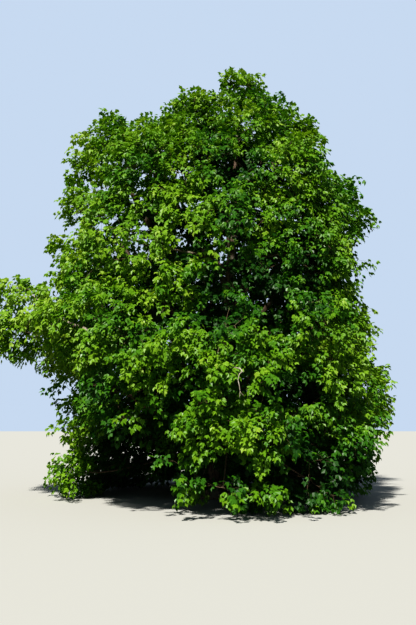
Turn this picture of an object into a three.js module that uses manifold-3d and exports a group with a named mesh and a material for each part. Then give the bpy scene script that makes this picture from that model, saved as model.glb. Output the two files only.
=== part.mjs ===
// A maple about nine metres tall that has grown alone in the open, in full spring leaf down to the grass.
// Millimetres, +Z up. The origin is the centre of the flat cut under the trunk, at ground level.
// +X is to the right of someone who faces the tree's broad side, and +Y points away from them.
import * as THREE from "three";
import { mergeVertices } from "three/addons/utils/BufferGeometryUtils.js";
import Module from "manifold-3d";

const wasm = await Module();
wasm.setup();

// The trunk runs from the flat cut at ground level to its tip inside the topmost foliage.
const TRUNK_HEIGHT = 7950;
const TRUNK_LEAN = 600; // how far the tip stands to the right of the foot
const TRUNK_LEAN_EARLY = 1.6; // above 1, more of the lean comes in the lower half
const TRUNK_SWAY = 60; // the slow bend of the stem, to and fro
const TRUNK_FOOT_RADIUS = 202; // at the ground, before the flare
const TRUNK_TIP_RADIUS = 22;
const TRUNK_TAPER_POWER = 0.85; // below 1, the trunk thins sooner near the ground
const FLARE_RADIUS = 150; // what the root flare adds at the ground
const FLARE_HEIGHT = 260; // the height over which the flare dies away
const FLARE_LOBES = 5;
const FLARE_LOBE_DEPTH = 0.22; // share of the flare's radius
const TRUNK_SIDES = 12;
const TRUNK_RINGS = 12;
const TRUNK_RING_CROWDING = 1.7; // above 1, rings stand closer together near the ground

// Gaps between neighbouring solids: they touch, but never share space.
const SEAT_GAP = 0.35;
const MASS_GAP = 0.4;
const SEAT_DEPTH = 350; // about how deep a mass is where a bough ends on it
const MERGE_WITHIN = 0.01; // corners closer than this are one corner

const BOUGH_SIDES = 6;
const BOUGH_RINGS = 4;
const BOUGH_TIP_SHARE = 0.38; // tip radius as a share of the radius at the trunk
const LUMPS = 14; // bulges and dents on each mass of foliage
const LUMPS_PER_DENT = 3; // every third lump is a dent
const LUMP_DEPTH = 0.34; // share of a mass's half size
const LUMP_VARIATION = 0.4; // share by which the depth of a lump differs from that
const DENT_SHARE = 0.8; // how deep a dent is against a bulge
const LUMP_SHARPNESS = 9; // higher makes each lump narrower
const BELLY_LIFT = 0.16; // how much flatter the underside of a mass is than its top

const UP = new THREE.Vector3(0, 0, 1);

const BARK_COLOUR = "#6f6357";
const LEAF_COLOURS = { deep: "#3f7a1c", mid: "#4f8f22", bright: "#69a52c" };

// Masses of foliage. at is the middle of each and half its half size, along X, Y and Z, before the
// neighbours cut into each other. leaf is its shade, and fine gives the larger masses more faces.
const MASSES = {
  // the top of the crown
  top_crest: { at: [650, 0, 8150], half: [540, 660, 790], leaf: "bright", fine: false },
  top_left: { at: [-180, 50, 7680], half: [840, 850, 860], leaf: "mid", fine: true },
  top_right: { at: [1330, 0, 7450], half: [720, 850, 860], leaf: "mid", fine: false },
  top_front: { at: [420, -1050, 6950], half: [980, 760, 820], leaf: "bright", fine: true },
  top_back: { at: [500, 1150, 7050], half: [1050, 950, 950], leaf: "mid", fine: true },
  // the shoulders
  shoulder_left: { at: [-2110, 100, 7060], half: [800, 950, 960], leaf: "bright", fine: true },
  shoulder_left_inner: { at: [-1270, 0, 7080], half: [680, 850, 850], leaf: "mid", fine: false },
  shoulder_right: { at: [1630, 100, 7000], half: [690, 900, 960], leaf: "mid", fine: false },
  shoulder_front_left: { at: [-1200, -1550, 6100], half: [1050, 880, 900], leaf: "bright", fine: true },
  shoulder_front_right: { at: [1250, -1600, 6000], half: [1020, 850, 760], leaf: "mid", fine: true },
  shoulder_back_left: { at: [-1400, 1650, 6050], half: [1250, 1150, 1150], leaf: "mid", fine: true },
  shoulder_back_right: { at: [1550, 1700, 5950], half: [1250, 1150, 1150], leaf: "deep", fine: true },
  // the flanks above the middle
  high_left: { at: [-2400, -150, 5860], half: [760, 1000, 640], leaf: "bright", fine: true },
  flank_left: { at: [-2560, -50, 4700], half: [760, 1050, 660], leaf: "mid", fine: false },
  high_right: { at: [2550, 0, 5760], half: [780, 1050, 800], leaf: "bright", fine: false },
  flank_right: { at: [2320, 50, 4640], half: [700, 1000, 660], leaf: "mid", fine: false },
  high_front_left: { at: [-1450, -2050, 4780], half: [960, 850, 740], leaf: "mid", fine: true },
  high_front: { at: [350, -2350, 5080], half: [1000, 800, 680], leaf: "bright", fine: true },
  high_front_right: { at: [1850, -1850, 4700], half: [860, 900, 820], leaf: "mid", fine: true },
  // the left arm, which reaches out beyond the rest of the crown
  arm_left: { at: [-3700, -400, 3200], half: [900, 850, 660], leaf: "bright", fine: true },
  arm_left_top: { at: [-3800, -400, 4050], half: [680, 600, 420], leaf: "mid", fine: false },
  // the broadest ring of the crown
  middle_left: { at: [-2500, 300, 3280], half: [880, 1050, 1000], leaf: "mid", fine: false },
  middle_front_left: { at: [-1450, -2400, 3200], half: [1050, 920, 920], leaf: "bright", fine: true },
  middle_front: { at: [20, -2900, 2550], half: [900, 780, 740], leaf: "mid", fine: true },
  middle_front_right: { at: [1580, -2350, 2950], half: [1000, 880, 900], leaf: "mid", fine: true },
  middle_right: { at: [2580, -100, 3480], half: [780, 1050, 800], leaf: "bright", fine: true },
  middle_back_left: { at: [-2000, 2100, 3950], half: [1200, 1150, 1400], leaf: "mid", fine: true },
  middle_back: { at: [150, 2750, 3950], half: [1300, 1000, 1450], leaf: "deep", fine: true },
  middle_back_right: { at: [2050, 2050, 3850], half: [1150, 1150, 1400], leaf: "mid", fine: true },
  // the lower ring
  lower_left: { at: [-2170, -450, 1850], half: [680, 1000, 900], leaf: "mid", fine: true },
  lower_front_left: { at: [-1250, -2400, 1850], half: [850, 800, 640], leaf: "deep", fine: true },
  lower_front: { at: [400, -2950, 1380], half: [1150, 800, 640], leaf: "bright", fine: true },
  lower_front_right: { at: [2120, -1880, 1710], half: [900, 960, 890], leaf: "deep", fine: true },
  lower_right: { at: [2900, 50, 2080], half: [880, 1100, 860], leaf: "bright", fine: true },
  lower_back_left: { at: [-2000, 2050, 1560], half: [1200, 1200, 1440], leaf: "mid", fine: true },
  lower_back: { at: [150, 2800, 1450], half: [1250, 950, 1250], leaf: "deep", fine: true },
  lower_back_right: { at: [2050, 2050, 1540], half: [1200, 1200, 1400], leaf: "mid", fine: true },
  // the skirt, whose sprays sweep the ground
  skirt_left: { at: [-2560, -250, 540], half: [600, 700, 520], leaf: "bright", fine: false },
  skirt_front: { at: [200, -3060, 500], half: [960, 540, 480], leaf: "bright", fine: false },
  skirt_front_right: { at: [1680, -2330, 600], half: [640, 660, 600], leaf: "bright", fine: false },
  skirt_right: { at: [2620, 100, 850], half: [660, 1000, 820], leaf: "deep", fine: false },
};
const GROUND_CLEARANCE = 40; // the lowest leaves stay this far above the ground

// Boughs. Each leaves the trunk at a height, arches by a rise above the straight line, and runs to a mass.
// radius is its radius at the trunk, and by is a point that it passes near, where one is given.
const BOUGHS = {
  bough_arm_left: { from: 1500, to: "arm_left", radius: 78, by: [-2250, -1250, 3250] },
  bough_shoulder_left: { from: 2900, to: "shoulder_left", radius: 80, rise: -150 },
  bough_shoulder_left_inner: { from: 4100, to: "shoulder_left_inner", radius: 58, rise: -150 },
  bough_shoulder_right: { from: 3300, to: "shoulder_right", radius: 72, rise: -150 },
  bough_top_right: { from: 5100, to: "top_right", radius: 46, rise: -100 },
  bough_high_left: { from: 2400, to: "high_left", radius: 66, rise: -100 },
  bough_high_right: { from: 2700, to: "high_right", radius: 68, rise: -100 },
  bough_high_front: { from: 2200, to: "high_front", radius: 64, rise: -200 },
  bough_shoulder_back_left: { from: 3000, to: "shoulder_back_left", radius: 62, rise: -150 },
  bough_shoulder_back_right: { from: 3500, to: "shoulder_back_right", radius: 62, rise: -150 },
  bough_middle_left: { from: 1150, to: "middle_left", radius: 68, rise: 100 },
  bough_middle_front_left: { from: 1300, to: "middle_front_left", radius: 72, rise: 150 },
  bough_middle_front_right: { from: 1650, to: "middle_front_right", radius: 70, rise: 150 },
  bough_middle_right: { from: 1900, to: "middle_right", radius: 72, rise: 100 },
  bough_middle_back_left: { from: 1750, to: "middle_back_left", radius: 72, rise: 100 },
  bough_middle_back_right: { from: 2050, to: "middle_back_right", radius: 72, rise: 100 },
  bough_lower_front: { from: 750, to: "lower_front", radius: 66, rise: 250 },
  bough_lower_right: { from: 950, to: "lower_right", radius: 66, rise: 150 },
};

// A repeatable stream of numbers from 0 to 1 for one named piece.
function seeded(name) {
  let state = 2166136261;
  for (const letter of name) state = Math.imul(state ^ letter.charCodeAt(0), 16777619);
  return () => {
    state = (state + 0x6d2b79f5) | 0;
    let mixed = Math.imul(state ^ (state >>> 15), 1 | state);
    mixed = (mixed + Math.imul(mixed ^ (mixed >>> 7), 61 | mixed)) ^ mixed;
    return ((mixed ^ (mixed >>> 14)) >>> 0) / 4294967296;
  };
}

// A closed geometry as a solid, with its shared corners merged.
function solidOf(geometry) {
  const bare = new THREE.BufferGeometry();
  bare.setAttribute("position", geometry.getAttribute("position"));
  if (geometry.index) bare.setIndex(geometry.index);
  const merged = mergeVertices(bare, MERGE_WITHIN);
  const mesh = new wasm.Mesh({
    numProp: 3,
    vertProperties: merged.attributes.position.array,
    triVerts: new Uint32Array(merged.index.array),
  });
  return new wasm.Manifold(mesh);
}

// A solid as a geometry again.
function geometryOf(solid) {
  const mesh = solid.getMesh();
  const geometry = new THREE.BufferGeometry();
  geometry.setAttribute("position", new THREE.BufferAttribute(new Float32Array(mesh.vertProperties), 3));
  geometry.setIndex(new THREE.BufferAttribute(new Uint32Array(mesh.triVerts), 1));
  geometry.computeVertexNormals();
  return geometry;
}

// The middle of the trunk at a height above the ground.
function trunkMiddle(height) {
  const share = height / TRUNK_HEIGHT;
  const lean = TRUNK_LEAN * share * (TRUNK_LEAN_EARLY - (TRUNK_LEAN_EARLY - 1) * share);
  const sway = TRUNK_SWAY * Math.sin(share * Math.PI * 2);
  return new THREE.Vector3(lean + sway * 0.5, sway, height);
}

// The trunk's radius at a height, before its root flare.
function trunkRadius(height) {
  const share = height / TRUNK_HEIGHT;
  return THREE.MathUtils.lerp(TRUNK_FOOT_RADIUS, TRUNK_TIP_RADIUS, share ** TRUNK_TAPER_POWER);
}

// The trunk as a solid of level rings, with its root flare in lobes. grow adds to its radius all over.
function trunkSolid(grow) {
  const geometry = new THREE.CylinderGeometry(1, 1, 1, TRUNK_SIDES, TRUNK_RINGS);
  const position = geometry.getAttribute("position");
  for (let i = 0; i < position.count; i++) {
    const share = (position.getY(i) + 0.5) ** TRUNK_RING_CROWDING;
    const height = TRUNK_HEIGHT * share;
    const across = position.getX(i);
    const along = -position.getZ(i);
    const lobe = 1 + FLARE_LOBE_DEPTH * Math.cos(FLARE_LOBES * Math.atan2(along, across));
    const flare = FLARE_RADIUS * lobe * Math.exp(-height / FLARE_HEIGHT);
    const radius = trunkRadius(height) + flare + grow;
    const middle = trunkMiddle(height);
    const end = share > 0.999 ? grow : 0; // the grown copy also stands above the tip
    position.setXYZ(i, middle.x + across * radius, middle.y + along * radius, height + end);
  }
  return solidOf(geometry);
}

// The line along the middle of a bough, from inside the trunk to the middle of its mass.
function boughCurve({ from, to, rise = 0, by }) {
  const start = trunkMiddle(from);
  const end = new THREE.Vector3(...MASSES[to].at);
  const passed = by
    ? new THREE.Vector3(...by)
    : start.clone().lerp(end, 0.5).add(new THREE.Vector3(0, 0, rise));
  return new THREE.CatmullRomCurve3([start, passed, end], false, "centripetal");
}

// A tapering tube along a curve. grow adds to its radius all over.
function boughSolid(curve, radius, grow) {
  const geometry = new THREE.CylinderGeometry(1, 1, 1, BOUGH_SIDES, BOUGH_RINGS);
  const frames = curve.computeFrenetFrames(BOUGH_RINGS);
  const position = geometry.getAttribute("position");
  for (let i = 0; i < position.count; i++) {
    const share = position.getY(i) + 0.5;
    const ring = Math.round(share * BOUGH_RINGS);
    const wide = radius * THREE.MathUtils.lerp(1, BOUGH_TIP_SHARE, share) + grow;
    const point = curve
      .getPointAt(share)
      .addScaledVector(frames.binormals[ring], position.getX(i) * wide)
      .addScaledVector(frames.normals[ring], position.getZ(i) * wide);
    position.setXYZ(i, point.x, point.y, point.z);
  }
  return solidOf(geometry);
}

// One uneven mass of foliage before its neighbours cut into it: a ball pushed out and in by seeded lumps,
// flatter below than above, and then fitted to its half sizes.
function massSolid(name, { at, half, fine }) {
  const random = seeded(name);
  const turn = random() * Math.PI * 2; // no two masses turn their faces alike
  const lumps = Array.from({ length: LUMPS }, (_, i) => ({
    toward: new THREE.Vector3().setFromSphericalCoords(
      1,
      Math.acos(1 - (2 * (i + random())) / LUMPS),
      random() * Math.PI * 2,
    ),
    depth:
      (i % LUMPS_PER_DENT ? 1 : -DENT_SHARE) *
      LUMP_DEPTH *
      (1 + LUMP_VARIATION * (2 * random() - 1)),
  }));
  const geometry = new THREE.IcosahedronGeometry(1, fine ? 2 : 1);
  const position = geometry.getAttribute("position");
  const corner = new THREE.Vector3();
  for (let i = 0; i < position.count; i++) {
    corner.fromBufferAttribute(position, i);
    corner.applyAxisAngle(UP, turn);
    const push = lumps.reduce((sum, lump) => {
      const near = Math.max(0, corner.dot(lump.toward));
      return sum + lump.depth * near ** LUMP_SHARPNESS;
    }, 1);
    corner.multiplyScalar(push);
    if (corner.z < 0) corner.z *= 1 - BELLY_LIFT;
    position.setXYZ(i, corner.x, corner.y, corner.z);
  }
  geometry.computeBoundingBox();
  const size = geometry.boundingBox.getSize(new THREE.Vector3());
  const middle = geometry.boundingBox.getCenter(new THREE.Vector3());
  geometry.translate(-middle.x, -middle.y, -middle.z);
  geometry.scale((2 * half[0]) / size.x, (2 * half[1]) / size.y, (2 * half[2]) / size.z);
  geometry.translate(...at);
  return solidOf(geometry);
}

// How far an ellipsoid of these half sizes reaches in a direction.
function reach(half, toward) {
  return Math.hypot(half[0] * toward.x, half[1] * toward.y, half[2] * toward.z);
}

// Cuts a mass along the flat faces where it presses against its neighbours, halfway through the overlap.
function cutByNeighbours(name, solid, others) {
  const own = MASSES[name];
  const centre = new THREE.Vector3(...own.at);
  let cut = solid;
  for (const [otherName, otherSolid] of Object.entries(others)) {
    if (otherName === name || solid.intersect(otherSolid).volume() < 1) continue;
    const other = MASSES[otherName];
    const toward = new THREE.Vector3(...other.at).sub(centre);
    const apart = toward.length();
    toward.normalize();
    const share = (apart + reach(own.half, toward) - reach(other.half, toward)) / 2;
    const face = toward.dot(centre) + share - MASS_GAP / 2;
    cut = cut.trimByPlane([-toward.x, -toward.y, -toward.z], -face);
  }
  return cut.trimByPlane([0, 0, 1], GROUND_CLEARANCE);
}

// The piece of a cut solid that lies nearest to a point.
function nearestPiece(solid, point) {
  const distance = (piece) => {
    const { min, max } = piece.boundingBox();
    return new THREE.Box3(new THREE.Vector3(...min), new THREE.Vector3(...max)).distanceToPoint(point);
  };
  return solid.decompose().sort((a, b) => distance(a) - distance(b))[0];
}

// A solid grown a little about a point, to cut what ends on it.
function grown(solid, point, grow) {
  return solid
    .translate([-point[0], -point[1], -point[2]])
    .scale([grow, grow, grow])
    .translate(point);
}

function buildMasses(trunkGrown) {
  const whole = {};
  for (const [name, mass] of Object.entries(MASSES)) whole[name] = massSolid(name, mass);
  const cut = {};
  for (const name of Object.keys(MASSES)) {
    const faced = cutByNeighbours(name, whole[name], whole);
    cut[name] = nearestPiece(faced.subtract(trunkGrown), new THREE.Vector3(...MASSES[name].at));
  }
  return cut;
}

function buildBoughs(trunkGrown, masses) {
  const grow = 1 + SEAT_GAP / SEAT_DEPTH;
  const grownMasses = Object.entries(masses).map(([name, solid]) => grown(solid, MASSES[name].at, grow));
  const boughs = {};
  const earlier = [];
  for (const [name, bough] of Object.entries(BOUGHS)) {
    const curve = boughCurve(bough);
    let solid = boughSolid(curve, bough.radius, 0).subtract(trunkGrown);
    for (const cutter of [...grownMasses, ...earlier]) solid = solid.subtract(cutter);
    const leaves = trunkMiddle(bough.from).add(
      curve.getTangentAt(0).multiplyScalar(trunkRadius(bough.from) + bough.radius),
    );
    boughs[name] = nearestPiece(solid, leaves);
    earlier.push(boughSolid(curve, bough.radius, SEAT_GAP));
  }
  return boughs;
}

function buildMaple() {
  const maple = new THREE.Group();
  const bark = new THREE.MeshStandardMaterial({ color: BARK_COLOUR, roughness: 0.9, metalness: 0 });
  const add = (name, solid, material) => {
    const mesh = new THREE.Mesh(geometryOf(solid), material);
    mesh.name = name;
    maple.add(mesh);
  };
  const trunkGrown = trunkSolid(SEAT_GAP);
  const masses = buildMasses(trunkGrown);
  add("trunk", trunkSolid(0), bark);
  for (const [name, solid] of Object.entries(buildBoughs(trunkGrown, masses))) add(name, solid, bark);
  for (const [name, solid] of Object.entries(masses)) {
    const leaf = LEAF_COLOURS[MASSES[name].leaf];
    add(name, solid, new THREE.MeshStandardMaterial({ color: leaf, roughness: 0.6, metalness: 0 }));
  }
  return maple;
}

export default buildMaple();
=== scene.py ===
"""A maple in full spring leaf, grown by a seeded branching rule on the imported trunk, boughs and crown.

Metres, +Z up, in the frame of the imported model: the origin is the centre of the flat cut under the trunk.
"""

import logging
import math
import zlib
from dataclasses import dataclass, field, fields
from enum import Enum
from typing import ClassVar, Self

import bpy
import numpy as np
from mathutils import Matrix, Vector, noise
from mathutils.bvhtree import BVHTree


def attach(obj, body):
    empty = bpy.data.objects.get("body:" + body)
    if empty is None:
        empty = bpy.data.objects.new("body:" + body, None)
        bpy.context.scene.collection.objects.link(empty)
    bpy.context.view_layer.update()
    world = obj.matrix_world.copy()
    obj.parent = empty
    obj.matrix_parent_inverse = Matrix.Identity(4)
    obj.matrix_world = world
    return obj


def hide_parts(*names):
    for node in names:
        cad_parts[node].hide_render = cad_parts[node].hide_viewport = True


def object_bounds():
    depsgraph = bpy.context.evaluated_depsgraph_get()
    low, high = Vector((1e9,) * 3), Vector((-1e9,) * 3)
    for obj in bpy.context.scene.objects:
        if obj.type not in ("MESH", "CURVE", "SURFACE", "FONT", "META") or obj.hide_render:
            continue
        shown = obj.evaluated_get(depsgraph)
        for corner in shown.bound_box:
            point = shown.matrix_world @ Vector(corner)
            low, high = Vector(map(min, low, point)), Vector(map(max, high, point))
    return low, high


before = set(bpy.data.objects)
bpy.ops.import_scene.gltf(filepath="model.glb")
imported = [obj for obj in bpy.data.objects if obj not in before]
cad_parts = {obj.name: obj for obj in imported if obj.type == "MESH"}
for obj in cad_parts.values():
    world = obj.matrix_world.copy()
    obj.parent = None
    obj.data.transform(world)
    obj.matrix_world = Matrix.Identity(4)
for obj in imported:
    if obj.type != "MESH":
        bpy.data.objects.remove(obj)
CAD_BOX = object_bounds()

log = logging.getLogger("maple")

# A place, a colour with its alpha, points with triangles, and a run of places with a radius at each.
Spot = tuple[float, float, float]
Colour = tuple[float, float, float, float]
Mesh = tuple[np.ndarray, np.ndarray]
Route = tuple[tuple[float, float, float, float], ...]

UP = np.array([0.0, 0.0, 1.0])
GOLDEN_ANGLE = math.pi * (3 - math.sqrt(5))

# Where the photograph was taken from: eye height, fifteen metres in front of the trunk.
EYE = np.array([-0.04, -15.0, 1.6])


def draws(name: str) -> np.random.Generator:
    """A repeatable stream of random numbers for the piece of this name."""
    return np.random.default_rng(zlib.crc32(name.encode()))


def unit(vectors: np.ndarray) -> np.ndarray:
    """The same vectors, each of length 1."""
    return vectors / np.maximum(np.linalg.norm(vectors, axis=-1, keepdims=True), 1e-9)


def at_least(least: np.ndarray | float, share: np.ndarray) -> np.ndarray:
    """A share from 0 to 1, squeezed so that it begins at the least."""
    return least + (1 - least) * share


def gone_along(path: np.ndarray) -> np.ndarray:
    """How far along a path each of its points lies."""
    return np.concatenate([[0], np.cumsum(np.linalg.norm(np.diff(path, axis=0), axis=1))])


@dataclass(frozen=True)
class Band:
    """A band of values, over which something comes in smoothly."""

    low: float
    high: float

    def passed(self, value: np.ndarray | float) -> np.ndarray | float:
        """How far a value has come through the band, smoothed, from 0 to 1."""
        share = np.clip((value - self.low) / (self.high - self.low), 0, 1)
        return share * share * (3 - 2 * share)


@dataclass(frozen=True)
class Lumps:
    """Smooth noise: how many of its lumps come to a metre, and a shift that sets two uses of it apart."""

    per_metre: float
    shift: float

    def at(self, points: np.ndarray) -> np.ndarray:
        """The noise at each point, about -1 to 1."""
        return np.array([noise.noise(Vector(p * self.per_metre + self.shift)) for p in points])


class Batch:
    """Arrays of one length, with a row for each of the things that a dataclass below describes."""

    def picked(self, which: np.ndarray) -> Self:
        """Only some of them."""
        return type(self)(*(getattr(self, each.name)[which] for each in fields(self)))

    @classmethod
    def joined(cls, batches: list[Self]) -> Self:
        """Several batches as one, in their order."""
        return cls(*(np.concatenate([getattr(b, each.name) for b in batches]) for each in fields(cls)))


# Finishes


def colour(red: float, green: float, blue: float) -> Colour:
    """A linear colour with full alpha."""
    return (red, green, blue, 1.0)


def blank_material(name: str) -> tuple[bpy.types.Material, bpy.types.Nodes, bpy.types.NodeLinks]:
    """A new material that has its own shader, with its nodes and links."""
    made = bpy.data.materials.new(name)
    made.use_nodes = True
    return made, made.node_tree.nodes, made.node_tree.links


def show_the_camera(
    tree: bpy.types.NodeTree, plain: bpy.types.NodeSocket, seen: bpy.types.NodeSocket, output: str
) -> None:
    """Wires one shader for the light that is thrown about, and another for what the camera sees.

    Args:
        tree: the nodes of a material or a surround.
        plain: the shader for the light that is thrown about.
        seen: the shader for the camera.
        output: the name of the tree's output node.
    """
    both = tree.nodes.new("ShaderNodeMixShader")
    tree.links.new(tree.nodes.new("ShaderNodeLightPath").outputs["Is Camera Ray"], both.inputs["Fac"])
    tree.links.new(plain, both.inputs[1])
    tree.links.new(seen, both.inputs[2])
    tree.links.new(both.outputs["Shader"], tree.nodes[output].inputs["Surface"])


class Tint(Enum):
    """The shades of green that sprays are dealt, from the youngest leaves to the painted shade of those deep
    inside.
    """

    YOUNG = 0
    BRIGHT = 1
    FRESH = 2
    MID = 3
    COOL = 4
    DEEP = 5
    SHADE = 6


@dataclass(frozen=True)
class LeafFinish:
    """The finish of the leaves of one tint: a waxy face that lets some yellow-green light through."""

    tint: Tint
    face: Colour
    through: Colour
    share_through: float = 0.2
    roughness: float = 0.45
    specular: float = 0.35

    def material(self) -> bpy.types.Material:
        """The material, with every value on a shader's own socket."""
        made, nodes, links = blank_material(f"leaf_{self.tint.name.lower()}")
        face = nodes["Principled BSDF"]
        face.inputs["Base Color"].default_value = self.face
        face.inputs["Roughness"].default_value = self.roughness
        face.inputs["Specular IOR Level"].default_value = self.specular
        behind = nodes.new("ShaderNodeBsdfTranslucent")
        behind.inputs["Color"].default_value = self.through
        both = nodes.new("ShaderNodeMixShader")
        both.inputs["Fac"].default_value = self.share_through
        links.new(face.outputs["BSDF"], both.inputs[1])
        links.new(behind.outputs["BSDF"], both.inputs[2])
        links.new(both.outputs["Shader"], nodes["Material Output"].inputs["Surface"])
        return made


LEAF_FINISHES = (
    LeafFinish(Tint.YOUNG, colour(0.265, 0.41, 0.035), colour(0.38, 0.56, 0.02), 0.28),
    LeafFinish(Tint.BRIGHT, colour(0.182, 0.345, 0.014), colour(0.27, 0.48, 0.012), 0.26),
    LeafFinish(Tint.FRESH, colour(0.122, 0.274, 0.008), colour(0.18, 0.39, 0.008), 0.22),
    LeafFinish(Tint.MID, colour(0.070, 0.203, 0.006), colour(0.10, 0.31, 0.006)),
    # COOL is a glossier, cooler green, dealt at random, whose bluish cast is partly a painted reflection of
    # the sky.
    LeafFinish(Tint.COOL, colour(0.060, 0.188, 0.012), colour(0.09, 0.28, 0.010), roughness=0.36),
    # DEEP and SHADE are darker copies of the green, painted shade for the sprays inside the crown and behind
    # recesses.
    LeafFinish(Tint.DEEP, colour(0.032, 0.130, 0.004), colour(0.05, 0.20, 0.004)),
    LeafFinish(Tint.SHADE, colour(0.014, 0.072, 0.004), colour(0.022, 0.12, 0.004)),
)


FURROW_DETAIL, FURROW_ROUGHNESS = 6.0, 0.62
BLOTCHES_PER_METRE, BLOTCH_DETAIL = 4.5, 3.0

# The bands of noise over which a furrow turns into a ridge, and plain bark into a blotch.
RIDGE_BAND, BLOTCH_BAND = Band(0.36, 0.62), Band(0.5, 0.66)

# The colour sockets of a mix node go by number, since other kinds of value have sockets of the same names.
MIX_FIRST, MIX_SECOND, MIXED = 6, 7, 2


def mapped(tree: bpy.types.NodeTree, value: bpy.types.NodeSocket, band: Band) -> bpy.types.NodeSocket:
    """How far a value in a tree of nodes has come through a band, from 0 to 1."""
    share = tree.nodes.new("ShaderNodeMapRange")
    share.inputs["From Min"].default_value = band.low
    share.inputs["From Max"].default_value = band.high
    tree.links.new(value, share.inputs["Value"])
    return share.outputs["Result"]


def bark_grain() -> bpy.types.NodeTree:
    """The group that every bark uses: long furrows between ridges, and blotches of lichen and young bark."""
    if "bark_grain" in bpy.data.node_groups:
        return bpy.data.node_groups["bark_grain"]
    group = bpy.data.node_groups.new("bark_grain", "ShaderNodeTree")
    for name, kind, into in (
        ("Furrows per metre", "NodeSocketFloat", "INPUT"),
        ("Stretch", "NodeSocketFloat", "INPUT"),
        ("Ridge", "NodeSocketFloat", "OUTPUT"),
        ("Blotch", "NodeSocketFloat", "OUTPUT"),
        ("Height", "NodeSocketFloat", "OUTPUT"),
    ):
        group.interface.new_socket(name=name, in_out=into, socket_type=kind)
    nodes, links = group.nodes, group.links
    given, made = nodes.new("NodeGroupInput"), nodes.new("NodeGroupOutput")
    where = nodes.new("ShaderNodeTexCoord")
    squash = nodes.new("ShaderNodeCombineXYZ")
    squash.inputs["X"].default_value = 1.0
    squash.inputs["Y"].default_value = 1.0
    links.new(given.outputs["Stretch"], squash.inputs["Z"])
    stretched = nodes.new("ShaderNodeVectorMath")
    stretched.operation = "MULTIPLY"
    links.new(where.outputs["Object"], stretched.inputs[0])
    links.new(squash.outputs["Vector"], stretched.inputs[1])
    furrows = nodes.new("ShaderNodeTexNoise")
    furrows.inputs["Detail"].default_value = FURROW_DETAIL
    furrows.inputs["Roughness"].default_value = FURROW_ROUGHNESS
    links.new(stretched.outputs["Vector"], furrows.inputs["Vector"])
    links.new(given.outputs["Furrows per metre"], furrows.inputs["Scale"])
    blotches = nodes.new("ShaderNodeTexNoise")
    blotches.inputs["Scale"].default_value = BLOTCHES_PER_METRE
    blotches.inputs["Detail"].default_value = BLOTCH_DETAIL
    links.new(where.outputs["Object"], blotches.inputs["Vector"])
    links.new(mapped(group, furrows.outputs["Fac"], RIDGE_BAND), made.inputs["Ridge"])
    links.new(mapped(group, blotches.outputs["Fac"], BLOTCH_BAND), made.inputs["Blotch"])
    links.new(furrows.outputs["Fac"], made.inputs["Height"])
    return group


@dataclass(frozen=True)
class BarkFinish:
    """A bark: the colours of its furrows, ridges and blotches, and how fine its grain is."""

    name: str
    furrow: Colour
    ridge: Colour
    blotch: Colour
    furrows_per_metre: float = 42.0
    stretch: float = 0.22
    bump: float = 0.6
    bump_distance: float = 0.004
    roughness: float = 0.88

    def material(self) -> bpy.types.Material:
        """The material, built on the shared grain."""
        made, nodes, links = blank_material(self.name)
        shader = nodes["Principled BSDF"]
        shader.inputs["Roughness"].default_value = self.roughness
        grain = nodes.new("ShaderNodeGroup")
        grain.node_tree = bark_grain()
        grain.inputs["Furrows per metre"].default_value = self.furrows_per_metre
        grain.inputs["Stretch"].default_value = self.stretch
        barred = self._mix(made, grain.outputs["Ridge"], self.furrow, self.ridge)
        spotted = self._mix(made, grain.outputs["Blotch"], None, self.blotch)
        links.new(barred.outputs[MIXED], spotted.inputs[MIX_FIRST])
        links.new(spotted.outputs[MIXED], shader.inputs["Base Color"])
        bump = nodes.new("ShaderNodeBump")
        bump.inputs["Strength"].default_value = self.bump
        bump.inputs["Distance"].default_value = self.bump_distance
        links.new(grain.outputs["Height"], bump.inputs["Height"])
        links.new(bump.outputs["Normal"], shader.inputs["Normal"])
        return made

    @staticmethod
    def _mix(
        material: bpy.types.Material,
        mask: bpy.types.NodeSocket,
        first: Colour | None,
        second: Colour,
    ) -> bpy.types.Node:
        """A node that goes from the first colour to the second where the mask is 1."""
        mix = material.node_tree.nodes.new("ShaderNodeMix")
        mix.data_type = "RGBA"
        if first is not None:
            mix.inputs[MIX_FIRST].default_value = first
        mix.inputs[MIX_SECOND].default_value = second
        material.node_tree.links.new(mask, mix.inputs[0])
        return mix


TRUNK_BARK = BarkFinish(
    "trunk_bark", colour(0.045, 0.028, 0.018), colour(0.30, 0.20, 0.145), colour(0.33, 0.30, 0.23)
)
BOUGH_BARK = BarkFinish(
    "bough_bark",
    colour(0.07, 0.040, 0.025),
    colour(0.21, 0.135, 0.095),
    colour(0.21, 0.18, 0.13),
    furrows_per_metre=60.0,
    stretch=0.35,
    bump=0.4,
)
PALE_BARK = BarkFinish(
    "pale_bark",
    colour(0.20, 0.155, 0.12),
    colour(0.45, 0.385, 0.32),
    colour(0.52, 0.47, 0.40),
    furrows_per_metre=70.0,
    stretch=0.5,
    bump=0.3,
)
TWIG_BARK = BarkFinish(
    "twig_bark",
    colour(0.09, 0.055, 0.03),
    colour(0.155, 0.105, 0.062),
    colour(0.13, 0.125, 0.06),
    furrows_per_metre=90.0,
    stretch=0.6,
    bump=0.2,
)


# Meshes


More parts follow.
